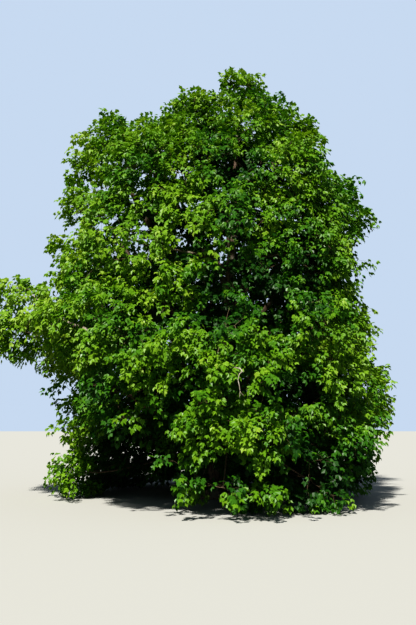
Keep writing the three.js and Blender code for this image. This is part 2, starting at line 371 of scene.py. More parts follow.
def mesh_piece(
    name: str,
    points: np.ndarray,
    faces: np.ndarray,
    materials: list[bpy.types.Material],
    worn: np.ndarray | None = None,
    smooth: bool = True,
) -> bpy.types.Object:
    """An object from arrays of points and triangles.

    Args:
        name: the piece's name.
        points: one row for each point.
        faces: three point numbers for each triangle.
        materials: what the piece's material slots hold.
        worn: the slot that each triangle wears, or None for the first.
        smooth: whether the shading rounds off the edges between triangles.

    Returns:
        The object, linked to the scene.
    """
    mesh = bpy.data.meshes.new(name)
    mesh.vertices.add(len(points))
    mesh.vertices.foreach_set("co", points.astype(np.float32).ravel())
    mesh.loops.add(faces.size)
    mesh.loops.foreach_set("vertex_index", faces.astype(np.int32).ravel())
    mesh.polygons.add(len(faces))
    mesh.polygons.foreach_set("loop_start", np.arange(0, faces.size, 3, dtype=np.int32))
    for material in materials:
        mesh.materials.append(material)
    if worn is not None:
        mesh.polygons.foreach_set("material_index", worn.astype(np.int32))
    mesh.polygons.foreach_set("use_smooth", np.full(len(faces), smooth))
    mesh.update(calc_edges=True)
    piece = bpy.data.objects.new(name, mesh)
    bpy.context.scene.collection.objects.link(piece)
    return piece


def place(piece: bpy.types.Object, replaced: list[str]) -> None:
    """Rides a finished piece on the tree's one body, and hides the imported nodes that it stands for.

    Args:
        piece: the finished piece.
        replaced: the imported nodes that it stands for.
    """
    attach(piece, "root")
    if replaced:
        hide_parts(*replaced)
    log.info("%s: %d triangles", piece.name, len(piece.data.polygons))


def ring_faces(tubes: int, rings: int, sides: int, pointed: bool = False) -> np.ndarray:
    """The triangles of tubes whose points run tube by tube, ring by ring and side by side.

    Args:
        tubes: how many tubes there are.
        rings: how many rings of points each has.
        sides: how many points a ring has.
        pointed: whether one more point, the tip, comes after each tube's rings.

    Returns:
        Three point numbers for each triangle.
    """
    ring, side = np.meshgrid(np.arange(rings - 1), np.arange(sides), indexing="ij")
    here = ring * sides + side
    beside = ring * sides + (side + 1) % sides
    quads = np.stack([here, beside, beside + sides, here + sides], -1).reshape(-1, 4)
    faces = np.concatenate([quads[:, [0, 1, 2]], quads[:, [0, 2, 3]]])
    if pointed:
        last = (rings - 1) * sides
        around = np.arange(sides)
        cone = np.stack([last + around, last + (around + 1) % sides, np.full(sides, last + sides)], 1)
        faces = np.concatenate([faces, cone])
    return (faces[None] + (np.arange(tubes) * (rings * sides + pointed))[:, None, None]).reshape(-1, 3)


def joined(parts: list[Mesh]) -> Mesh:
    """Several meshes as one."""
    points, faces, first = [], [], 0
    for some_points, some_faces in parts:
        points.append(some_points)
        faces.append(some_faces + first)
        first += len(some_points)
    return np.concatenate(points), np.concatenate(faces)


# How upright a curve is as a whole when its two directions are taken from +X and no longer from +Z.
STEEP = 0.9


def across_and_over(tangents: np.ndarray) -> tuple[np.ndarray, np.ndarray]:
    """Two directions square to each tangent, which don't flip along a curve.

    Args:
        tangents: the directions of curves, as curves x points x 3.

    Returns:
        The two directions at each point.
    """
    upright = np.abs(unit(tangents.mean(1))[:, 2]) > STEEP
    reference = np.where(upright[:, None], [[1.0, 0.0, 0.0]], [[0.0, 0.0, 1.0]])
    across = unit(np.cross(tangents, reference[:, None, :]))
    return across, np.cross(across, tangents)


def level_ways(count: int) -> np.ndarray:
    """The level directions round an upright tube, in the order of its sides."""
    across, over = across_and_over(UP[None, None])
    turn = 2 * math.pi * np.arange(count)[:, None] / count
    return np.cos(turn) * across[0] + np.sin(turn) * over[0]


@dataclass
class Curves:
    """Smooth curves, many at once: the ends of each, and the directions in which it leaves and arrives."""

    start: np.ndarray
    end: np.ndarray
    leaving: np.ndarray
    arriving: np.ndarray

    def at(self, shares: np.ndarray) -> tuple[np.ndarray, np.ndarray]:
        """Points and directions along every curve.

        Args:
            shares: how far along, from 0 to 1.

        Returns:
            Points and unit directions, as curves x shares x 3.
        """
        span = np.linalg.norm(self.end - self.start, axis=1, keepdims=True)
        t = np.asarray(shares, float)[None, :, None]
        p, q = self.start[:, None], self.end[:, None]
        m, n = (self.leaving * span)[:, None], (self.arriving * span)[:, None]
        points = (
            (2 * t**3 - 3 * t**2 + 1) * p
            + (t**3 - 2 * t**2 + t) * m
            + (3 * t**2 - 2 * t**3) * q
            + (t**3 - t**2) * n
        )
        slopes = (
            (6 * t**2 - 6 * t) * p
            + (3 * t**2 - 4 * t + 1) * m
            + (6 * t - 6 * t**2) * q
            + (3 * t**2 - 2 * t) * n
        )
        return points, unit(slopes)

    def swept(
        self, thick: np.ndarray, thin: np.ndarray, sides: int, steps: int, pointed: bool = False
    ) -> Mesh:
        """Tapering tubes along the curves.

        Args:
            thick: each tube's radius at its start.
            thin: each tube's radius at its end.
            sides: how many sides a tube has.
            steps: how many stretches it has along its length.
            pointed: whether it ends in a point.

        Returns:
            Points and triangles.
        """
        shares = np.linspace(0, 1, steps + 1)
        path, tangent = self.at(shares)
        across, over = across_and_over(tangent)
        turn = 2 * math.pi * np.arange(sides) / sides
        ring = (
            np.cos(turn)[:, None] * across[:, :, None] + np.sin(turn)[:, None] * over[:, :, None]
        )
        radius = thick[:, None] + (thin - thick)[:, None] * shares
        points = path[:, :, None] + radius[:, :, None, None] * ring
        if not pointed:
            return points.reshape(-1, 3), ring_faces(len(path), steps + 1, sides)
        points = np.concatenate([points[:, :-1].reshape(len(path), -1, 3), path[:, -1:]], 1)
        return points.reshape(-1, 3), ring_faces(len(path), steps, sides, True)


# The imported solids


class Solid:
    """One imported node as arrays, with a tree for casting rays at it."""

    def __init__(self, name: str) -> None:
        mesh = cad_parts[name].data
        mesh.calc_loop_triangles()
        points = np.zeros(len(mesh.vertices) * 3, np.float32)
        mesh.vertices.foreach_get("co", points)
        corners = np.zeros(len(mesh.loop_triangles) * 3, np.int32)
        mesh.loop_triangles.foreach_get("vertices", corners)
        self.name = name
        self.points = points.reshape(-1, 3).astype(float)
        self.faces = corners.reshape(-1, 3)
        self.rays = BVHTree.FromPolygons(self.points.tolist(), self.faces.tolist())
        low, high = self.points.min(0), self.points.max(0)
        self.middle = (low + high) / 2
        self.half = (high - low) / 2

    def slice_at(self, point: np.ndarray, normal: np.ndarray) -> np.ndarray:
        """The points where a plane crosses the edges of the solid."""
        side = (self.points - point) @ normal
        edges = np.concatenate([self.faces[:, [0, 1]], self.faces[:, [1, 2]], self.faces[:, [2, 0]]])
        edges = np.unique(np.sort(edges, axis=1), axis=0)
        edges = edges[side[edges[:, 0]] * side[edges[:, 1]] < 0]
        a, b = edges[:, 0], edges[:, 1]
        share = (side[a] / (side[a] - side[b]))[:, None]
        return self.points[a] * (1 - share) + self.points[b] * share

    def on_surface(self, count: int, rng: np.random.Generator) -> tuple[np.ndarray, np.ndarray]:
        """Random points spread evenly over the surface, with the outward normal at each."""
        a, b, c = (self.points[self.faces[:, k]] for k in range(3))
        normals = np.cross(b - a, c - a)
        areas = np.linalg.norm(normals, axis=1)
        chosen = rng.choice(len(areas), count, p=areas / areas.sum())
        u, v = rng.random(count), rng.random(count)
        flip = u + v > 1
        u[flip], v[flip] = 1 - u[flip], 1 - v[flip]
        points = a[chosen] + u[:, None] * (b - a)[chosen] + v[:, None] * (c - a)[chosen]
        return points, unit(normals[chosen])

    def area(self) -> float:
        """The area of the surface."""
        a, b, c = (self.points[self.faces[:, k]] for k in range(3))
        return float(np.linalg.norm(np.cross(b - a, c - a), axis=1).sum() / 2)


# Limbs with bark


@dataclass(frozen=True)
class Relief:
    """How finely a limb is meshed, and how deep and how close together the furrows of its bark are."""

    sides: int
    ring_step: float
    furrow_depth: float
    furrows_round: float


TRUNK_RELIEF = Relief(sides=44, ring_step=0.035, furrow_depth=0.075, furrows_round=5.0)
BOUGH_RELIEF = Relief(sides=14, ring_step=0.045, furrow_depth=0.05, furrows_round=3.0)
SIDE_LIMB_RELIEF = Relief(sides=10, ring_step=0.06, furrow_depth=0.05, furrows_round=2.5)
DEAD_TWIG_RELIEF = Relief(sides=6, ring_step=0.03, furrow_depth=0.08, furrows_round=2.0)


@dataclass
class Limb:
    """A limb with the relief of its bark: a path, its radius along it, and lobes round its foot.

    Its rings lie level, as the trunk's do, or square to its path.
    """

    name: str
    path: np.ndarray
    radius: np.ndarray
    relief: Relief
    lobes: np.ndarray | None = None
    level: bool = False
    fewest_rings: ClassVar[int] = 6
    long_per_metre: ClassVar[float] = 1.6
    fine_per_metre: ClassVar[float] = 7.0
    fine_round: ClassVar[float] = 2.3
    long_ridge: ClassVar[float] = 3.2
    fine_ridge: ClassVar[float] = 0.9
    shifts: ClassVar[int] = 97

    def tube(self) -> Mesh:
        """The limb's points and triangles, closed at its foot and its tip."""
        along, sides = gone_along(self.path), self.relief.sides
        rings = max(self.fewest_rings, int(along[-1] / self.relief.ring_step))
        wanted = np.linspace(0, along[-1], rings)
        path = np.stack([np.interp(wanted, along, self.path[:, k]) for k in range(3)], 1)
        radius = np.interp(wanted, along, self.radius)
        tangent = np.tile(UP, (rings, 1)) if self.level else unit(np.gradient(path, axis=0))
        across, over = across_and_over(tangent[None])
        turn = 2 * math.pi * np.arange(sides) / sides
        ring = np.cos(turn)[:, None] * across[0][:, None] + np.sin(turn)[:, None] * over[0][:, None]
        spread = np.repeat(radius[:, None], sides, 1)
        if self.lobes is not None:
            spread = spread * np.stack([np.interp(wanted, along, self.lobes[:, k]) for k in range(sides)], 1)
        spread = spread * (1 - self.relief.furrow_depth * self._furrows(turn, wanted))
        points = (path[:, None] + spread[:, :, None] * ring).reshape(-1, 3)
        faces = ring_faces(1, rings, sides)
        caps = []
        for end, first in ((path[0], 0), (path[-1], (rings - 1) * sides)):
            centre = len(points)
            points = np.vstack([points, end])
            for side in range(sides):
                pair = (first + side, first + (side + 1) % sides)
                caps.append((centre, *pair) if first else (centre, *reversed(pair)))
        return points, np.concatenate([faces, np.array(caps)])

    def _furrows(self, turn: np.ndarray, along: np.ndarray) -> np.ndarray:
        """How deep the bark is furrowed, from 0 on a ridge to 1, at each ring and side."""
        depths = np.zeros((len(along), len(turn)))
        shift = zlib.crc32(self.name.encode()) % self.shifts
        for i, length in enumerate(along):
            high, fine_high = length * self.long_per_metre + shift, length * self.fine_per_metre + shift
            for j, angle in enumerate(turn):
                x = math.cos(angle) * self.relief.furrows_round
                y = math.sin(angle) * self.relief.furrows_round
                long = noise.noise(Vector((x, y, high)))
                fine = noise.noise(Vector((x * self.fine_round, y * self.fine_round, fine_high)))
                depths[i, j] = 1 - min(1.0, abs(long) * self.long_ridge + abs(fine) * self.fine_ridge)
        return depths

    def build(self, finish: bpy.types.Material, replaced: list[str]) -> bpy.types.Object:
        """Makes the piece and places it."""
        piece = mesh_piece(self.name, *self.tube(), [finish])
        place(piece, replaced)
        return piece


# The share of a packed limb's points, in percent, that make up either end of it, how far from the ends it is
# cut first and last, and how many points a cut needs.
END_PERCENT, END_INSET, FEWEST_CUT_POINTS = 8, 0.04, 4


def trace(solid: Solid, start: np.ndarray, sections: int) -> tuple[np.ndarray, np.ndarray]:
    """Follows a packed limb from the end nearest to a point to its other end.

    Args:
        solid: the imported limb.
        start: a point beyond the end to begin at.
        sections: how many cuts to make across it.

    Returns:
        The middle of each cut, and its radius.
    """
    distances = np.linalg.norm(solid.points - start, axis=1)
    near = solid.points[distances < np.percentile(distances, END_PERCENT)].mean(0)
    far = solid.points[distances > np.percentile(distances, 100 - END_PERCENT)].mean(0)
    chord = unit(far - near)
    first = ((solid.points - near) @ chord).min()
    last = ((solid.points - near) @ chord).max()
    middles, radii = [], []
    for share in np.linspace(END_INSET, 1 - END_INSET, sections):
        cut = solid.slice_at(near + chord * (first + (last - first) * share), chord)
        if len(cut) < FEWEST_CUT_POINTS:
            continue
        middles.append(cut.mean(0))
        radii.append(np.linalg.norm(cut - cut.mean(0), axis=1).mean())
    path = np.array(middles)
    lean = unit(np.gradient(path, axis=0)) @ chord
    return path, np.array(radii) * (0.5 + 0.5 * lean)


class Trunk:
    """The trunk, with its taper, lean and root flare as packed, and deep bark relief."""

    sections = 60
    inset = 0.002
    crowded_low = 1.6
    flare = Band(0.25, 1.1)
    least_reach = 0.02

    def __init__(self) -> None:
        self.solid = Solid("trunk")
        shares = np.linspace(self.inset, 1 - self.inset, self.sections)
        heights = self.solid.half[2] * 2 * shares**self.crowded_low
        centres, radii, lobes = [], [], []
        ways = level_ways(TRUNK_RELIEF.sides)
        for height in heights:
            cut = self.solid.slice_at(UP * height, UP)
            centre = cut.mean(0)
            reach = np.array([self._reach(centre, way) for way in ways])
            lobed = 1 - self.flare.passed(height)
            centres.append(centre)
            radii.append(reach.mean())
            lobes.append(1 + (reach / reach.mean() - 1) * lobed)
        self.path = np.array(centres)
        self.radius = np.array(radii)
        self.lobes = np.array(lobes)
        self.path[0, 2] = 0.0

    def _reach(self, centre: np.ndarray, way: np.ndarray) -> float:
        """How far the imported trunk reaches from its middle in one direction."""
        hit = self.solid.rays.ray_cast(Vector(centre), Vector(way))
        return hit[3] if hit[3] is not None else self.least_reach

    def middle_at(self, height: float) -> np.ndarray:
        """The middle of the trunk at a height."""
        held = float(np.clip(height, 0, self.path[-1, 2]))
        return np.array([np.interp(held, self.path[:, 2], self.path[:, k]) for k in range(3)])

    def build(self, finish: bpy.types.Material) -> None:
        """Makes the trunk's piece."""
        limb = Limb("bark_trunk", self.path, self.radius, TRUNK_RELIEF, self.lobes, level=True)
        limb.build(finish, ["trunk"])


@dataclass
class Bough:
    """One main bough, as packed, rooted in the trunk with a swollen collar."""

    name: str
    trunk: Trunk
    path: np.ndarray = field(init=False)
    radius: np.ndarray = field(init=False)
    sections: ClassVar[int] = 22
    rooted: ClassVar[float] = 0.9
    collar: ClassVar[float] = 0.55
    collar_length: ClassVar[float] = 0.16

    def __post_init__(self) -> None:
        solid = Solid(self.name)
        lowest = solid.points[:, 2].min()
        path, radius = trace(solid, self.trunk.middle_at(lowest), self.sections)
        inward = unit(path[0] - path[1])
        middle = self.trunk.middle_at(path[0][2])
        root = path[0] + inward * (np.linalg.norm(path[0][:2] - middle[:2]) * self.rooted)
        self.path = np.vstack([root, path])
        gone = gone_along(self.path)
        swell = np.exp(-np.maximum(gone - gone[1], 0) / self.collar_length)
        self.radius = np.concatenate([[radius[0]], radius]) * (1 + self.collar * swell)

    @property
    def tip(self) -> np.ndarray:
        """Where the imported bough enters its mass."""
        return self.path[-1]

    @property
    def heading(self) -> np.ndarray:
        """The direction in which it enters."""
        return unit(self.path[-1] - self.path[-3])

    def build(self, finish: bpy.types.Material) -> None:
        """Makes the bough's piece."""
        limb = Limb(f"bark_{self.name}", self.path, self.radius, BOUGH_RELIEF)
        limb.build(finish, [self.name])


# The crown


class Zone(Enum):
    """Parts of the crown. The value lists how the names of its masses begin."""

    TOP = ("top_",)
    SHOULDERS = ("shoulder_left", "shoulder_right")
    SHOULDERS_DEEP = ("shoulder_front", "shoulder_back")
    UPPER = ("high_", "flank_")
    ARM = ("arm_",)
    MIDDLE_FRONT = ("middle_front", "middle_left", "middle_right")
    MIDDLE_BACK = ("middle_back",)
    LOWER_FRONT = ("lower_front", "lower_left", "lower_right")
    LOWER_BACK = ("lower_back",)
    SKIRT = ("skirt_",)

    @classmethod
    def of(cls, mass: str) -> "Zone":
        """The zone that a mass is in."""
        return next(zone for zone in cls if mass.startswith(zone.value))


def seen_at(points: np.ndarray) -> np.ndarray:
    """Where the line of sight through each point meets the upright plane through the trunk's foot."""
    toward = points - EYE
    seen = EYE + toward * (-EYE[1] / toward[:, 1])[:, None]
    seen[:, 1] = 0.0
    return seen


@dataclass(frozen=True)
class Opening:
    """An oval with fewer sprays in it, where lines of sight meet the upright plane through the trunk's foot.

    A sky gap goes right through the crown or trims its edge, and a recess shows the shade inside it. Each has
    a middle, half its width, half its height and the share of the sprays that is missing.
    """

    x: float
    z: float
    wide: float
    high: float
    clear: float
    edge: ClassVar[Band] = Band(0.8, 1.1)

    def cleared(self, seen: np.ndarray, margin: float) -> np.ndarray:
        """The share that is missing at each place seen, with the oval wider by a margin all round."""
        across = (seen[:, 0] - self.x) / (self.wide + margin)
        up = (seen[:, 2] - self.z) / (self.high + margin)
        return self.clear * (1 - self.edge.passed(np.hypot(across, up)))


SKY_GAPS = (
    Opening(0.13, 8.80, 0.15, 0.15, 0.9),
    Opening(-2.52, 7.73, 0.19, 0.15, 0.9),
    Opening(-1.95, 5.06, 0.16, 0.24, 0.75),
    Opening(-1.42, 5.18, 0.24, 0.30, 0.75),
    Opening(-0.58, 5.25, 0.12, 0.24, 0.7),
    Opening(0.20, 5.12, 0.16, 0.20, 0.7),
    Opening(0.92, 5.65, 0.20, 0.22, 0.7),
    Opening(1.88, 5.68, 0.12, 0.14, 0.7),
    Opening(1.32, 6.75, 0.12, 0.10, 0.8),
    Opening(-2.60, 6.32, 0.14, 0.04, 0.4),
    Opening(-2.75, 5.35, 0.15, 0.05, 0.7),
    Opening(3.04, 4.62, 0.16, 0.42, 0.85),
    Opening(-3.15, 4.05, 0.10, 0.15, 0.8),
    Opening(-1.45, 0.95, 0.35, 0.15, 0.5),
    Opening(-2.98, 0.92, 0.18, 0.12, 0.8),
    Opening(1.76, 8.26, 0.13, 0.11, 0.9),
    Opening(3.38, 3.74, 0.24, 0.34, 0.85),
)

RECESSES = (
    Opening(0.64, 6.68, 0.62, 0.20, 0.85),
    Opening(-0.04, 7.42, 0.16, 0.16, 0.70),
    Opening(-2.10, 5.72, 0.20, 0.18, 0.40),
    Opening(-1.20, 5.66, 0.14, 0.16, 0.60),
    Opening(0.48, 5.46, 0.20, 0.26, 0.70),
    Opening(0.80, 4.50, 0.64, 0.38, 0.76),
    Opening(-0.10, 4.35, 0.26, 0.24, 0.70),
    Opening(0.24, 3.58, 0.46, 0.36, 0.84),
    Opening(1.30, 3.82, 0.30, 0.24, 0.90),
    Opening(2.05, 4.62, 0.20, 0.32, 0.60),
    Opening(2.10, 3.80, 0.20, 0.20, 0.60),
    Opening(-0.50, 2.20, 0.26, 0.46, 0.85),
    Opening(-2.20, 2.26, 0.46, 0.26, 0.60),
    Opening(-1.40, 1.48, 0.66, 0.28, 0.80),
    Opening(-1.50, 0.56, 0.90, 0.42, 0.72),
    Opening(1.74, 2.08, 0.52, 0.28, 0.90),
    Opening(1.75, 1.26, 0.28, 0.12, 0.60),
    Opening(1.62, 5.72, 0.34, 0.12, 0.50),
    Opening(0.30, 0.42, 0.46, 0.26, 0.90),
    Opening(2.20, 0.46, 0.90, 0.46, 0.80),
)

# How open each mass is, from 0, as dense as the rest, to 1, with hardly a spray left.
OPENNESS = {"arm_left_top": 0.25, "skirt_front": 0.6, "skirt_front_right": 0.6, "skirt_left": 0.1}

# Painted light and shade: how much lighter or darker than the rest the leaves of each mass are dealt, for how
# much light falls on it.
PAINTED_LIGHT_BY_MASS = {
    "arm_left": 0.33,
    "arm_left_top": 0.29,
    "middle_left": 0.38,
    "flank_left": 0.30,
    "high_left": 0.18,
    "high_front_left": 0.04,
    "shoulder_left": 0.10,
    "high_front_right": -0.08,
    "high_right": -0.06,
    "lower_front": -0.06,
    "lower_left": -0.04,
    "lower_front_left": -0.14,
    "lower_front_right": -0.08,
    "skirt_left": 0.12,
    "skirt_front": -0.14,
    "skirt_front_right": -0.12,
    "skirt_right": -0.10,
    "lower_right": 0.26,
    "middle_right": 0.27,
    "middle_front_left": 0.06,
    "middle_front": -0.08,
    "top_crest": 0.08,
    "top_right": 0.04,
    "shoulder_right": 0.06,
}

# Sprays that hang alone, at the crown's edge below the arm and in front of the shade under the crown.
LONE_SPRAYS = (
    (-2.80, -0.40, 2.15),
    (-2.78, -0.20, 1.76),
    (-2.72, -0.50, 1.36),
    (-0.58, -2.95, 0.88),
    (-0.80, -2.95, 0.60),
    (-0.30, -3.20, 0.52),
    (0.82, -3.25, 0.42),
    (1.50, -3.10, 0.45),
)

# The tips of leading shoots that stand out from the crown's edge, besides the tops of the masses.
LEADING_TIPS = (
    (0.07, 0.0, 8.50),
    (-0.28, 0.0, 8.40),
    (1.18, 0.0, 8.06),
    (0.45, 0.0, 9.02),
    (0.79, 0.0, 8.90),
    (2.10, 0.0, 7.92),
    (-1.82, 0.2, 7.70),
    (-2.84, 0.0, 7.24),
    (-2.92, 0.1, 6.78),
    (-2.98, 0.0, 6.32),
    (2.90, 0.0, 6.20),
)

# Lit sprays on the near side, each by where its line of sight meets the plane through the trunk's foot.
NEAR_SPRAYS = (
    (-0.76, 3.13),
    (-2.40, 3.13),
    (-2.15, 3.42),
    (-2.45, 2.72),
    (-2.05, 2.86),
    (-1.62, 2.66),
    (-1.20, 2.84),
    (-0.12, 1.92),
    (0.25, 2.48),
    (0.38, 2.02),
    (1.10, 2.30),
    (2.78, 2.24),
    (2.90, 2.66),
    (-1.70, 1.54),
    (-2.50, 0.66),
)


@dataclass(frozen=True)
class BareStretch:
    """A stretch of bare wood that shows in front of the leaves, so that no spray hides it from the eye."""

    first: Spot
    last: Spot
    clear: float
    clear_of_leaves: float
    places: ClassVar[int] = 9
    slack: ClassVar[float] = 0.03

    def hidden_by(self, points: np.ndarray, clear: float) -> np.ndarray:
        """True for each point that would hide the stretch from the eye, if nothing may come this near."""
        a, b = np.array(self.first), np.array(self.last)
        shares = np.linspace(0, 1, self.places)[:, None]
        wood = a * (1 - shares) + b * shares
        toward = unit(wood - EYE)
        reach = np.linalg.norm(wood - EYE, axis=1)
        from_eye = points - EYE
        depth = from_eye @ toward.T
        off = np.linalg.norm(from_eye[:, None] - depth[:, :, None] * toward[None], axis=2)
        return ((off < clear) & (depth < reach[None] + self.slack)).any(1)


@dataclass
class Clumps(Batch):
    """Ends of branches, each of which carries an umbrella of leafy shoots.

    Each has its place, the direction of its middle shoot, the way out of the crown, the number of its mass,
    whether it lies in the shade inside, the room that it keeps to its neighbours, the most shoots that it may
    have and how wide they spread, where 1 is the usual.
    """

    at: np.ndarray
    axis: np.ndarray
    outward: np.ndarray
    mass: np.ndarray
    inner: np.ndarray
    room: np.ndarray
    most: np.ndarray
    spread: np.ndarray


class Outline:
    """The crown's outline, closed over the valleys between its masses, as its reach from a heart line.

    The heart line is upright. A place on the outline has a bearing round it, and a station that counts metres
    from the ground up the side and over the top.
    """

    across = 0.2
    foot = 0.9
    crest = 5.4
    typical_reach = 3.0
    lowest = -0.28
    bearings = 54
    stations = 34
    closing = 3
    far = 9.0
    off_the_end = 1.001

    def __init__(self, rays: BVHTree) -> None:
        self.rays = rays
        self.below = -self.lowest * self.typical_reach
        self.side = self.crest - self.foot
        self.length = self.below + self.side + self.typical_reach * math.pi / 2
        bearing = np.arange(self.bearings) * 2 * math.pi / self.bearings
        station = (np.arange(self.stations) + 0.5) * self.length / self.stations
        grid = np.meshgrid(bearing, station, indexing="ij")
        reach = self.first_hit(*(g.ravel() for g in grid)).reshape(self.bearings, self.stations)
        closed = self._spread(self._spread(reach, np.maximum), np.minimum)
        self.closed = (np.roll(closed, 1, 0) + closed + np.roll(closed, -1, 0)) / 3

    def _spread(self, grid: np.ndarray, pick: np.ufunc) -> np.ndarray:
        """Spreads the greatest or the least values of a grid over their neighbours."""
        for _ in range(self.closing):
            grid = pick.reduce([np.roll(grid, step, 0) for step in (-1, 0, 1)])
            padded = np.pad(grid, ((0, 0), (1, 1)), mode="edge")
            grid = pick.reduce([padded[:, k : k + grid.shape[1]] for k in range(3)])
        return grid

    def ways(self, bearing: np.ndarray, station: np.ndarray) -> tuple[np.ndarray, np.ndarray]:
        """The points of the heart line and the directions that lead to places on the outline."""
        up = station - self.below
        heart = np.stack(
            [np.full(len(up), self.across), np.zeros(len(up)), self.foot + np.clip(up, 0, self.side)], 1
        )
        rise = (np.minimum(up, 0) + np.maximum(up - self.side, 0)) / self.typical_reach
        level = np.cos(rise)
        return heart, np.stack([np.cos(bearing) * level, np.sin(bearing) * level, np.sin(rise)], 1)

    def first_hit(self, bearing: np.ndarray, station: np.ndarray) -> np.ndarray:
        """How far the masses themselves reach toward each place, or 0 where there are none."""
        hearts, ways = self.ways(bearing, station)
        reach = np.zeros(len(bearing))
        for k, (heart, way) in enumerate(zip(hearts, ways, strict=True)):
            hit = self.rays.ray_cast(Vector(heart + way * self.far), Vector(-way), self.far)
            reach[k] = self.far - hit[3] if hit[0] is not None else 0.0
        return reach

    def reach(self, bearing: np.ndarray, station: np.ndarray) -> np.ndarray:
        """How far the closed outline reaches toward each place."""
        b = (bearing % (2 * math.pi)) / (2 * math.pi) * self.bearings
        s = np.clip(station / self.length * self.stations - 0.5, 0, self.stations - self.off_the_end)
        b0, s0 = b.astype(int), s.astype(int)
        fb, fs = b - b0, s - s0
        b0, b1 = b0 % self.bearings, (b0 + 1) % self.bearings
        low = self.closed[b0, s0] * (1 - fb) + self.closed[b1, s0] * fb
        high = self.closed[b0, s0 + 1] * (1 - fb) + self.closed[b1, s0 + 1] * fb
        return low * (1 - fs) + high * fs

    def outward(self, points: np.ndarray) -> np.ndarray:
        """The direction out of the crown: level low down, and up at the top."""
        return unit(self._from_heart(points))

    def depth(self, points: np.ndarray) -> np.ndarray:
        """How far inside the closed outline each point is."""
        way = self._from_heart(points)
        flat = np.hypot(way[:, 0], way[:, 1])
        rise = np.arctan2(way[:, 2], flat)
        held = np.clip(points[:, 2], self.foot, self.crest) - self.foot
        station = self.below + held + rise * self.typical_reach
        return self.reach(np.arctan2(way[:, 1], way[:, 0]), station) - np.linalg.norm(way, axis=1)

    def _from_heart(self, points: np.ndarray) -> np.ndarray:
        """The way to each point from the heart line."""
        low = np.clip(points[:, 2], self.foot, self.crest)
        return points - np.stack([np.full(len(low), self.across), np.zeros(len(low)), low], 1)

    def scattered(self, count: int, rng: np.random.Generator) -> tuple[np.ndarray, np.ndarray]:
        """Random bearings and stations, spread evenly over the outline."""
        bearing = rng.uniform(0, 2 * math.pi, count)
        station = rng.uniform(0, self.length, count)
        _, ways = self.ways(bearing, station)
        wide = self.reach(bearing, station) * np.hypot(ways[:, 0], ways[:, 1])
        kept = rng.random(count) < wide / wide.max()
        return bearing[kept], station[kept]


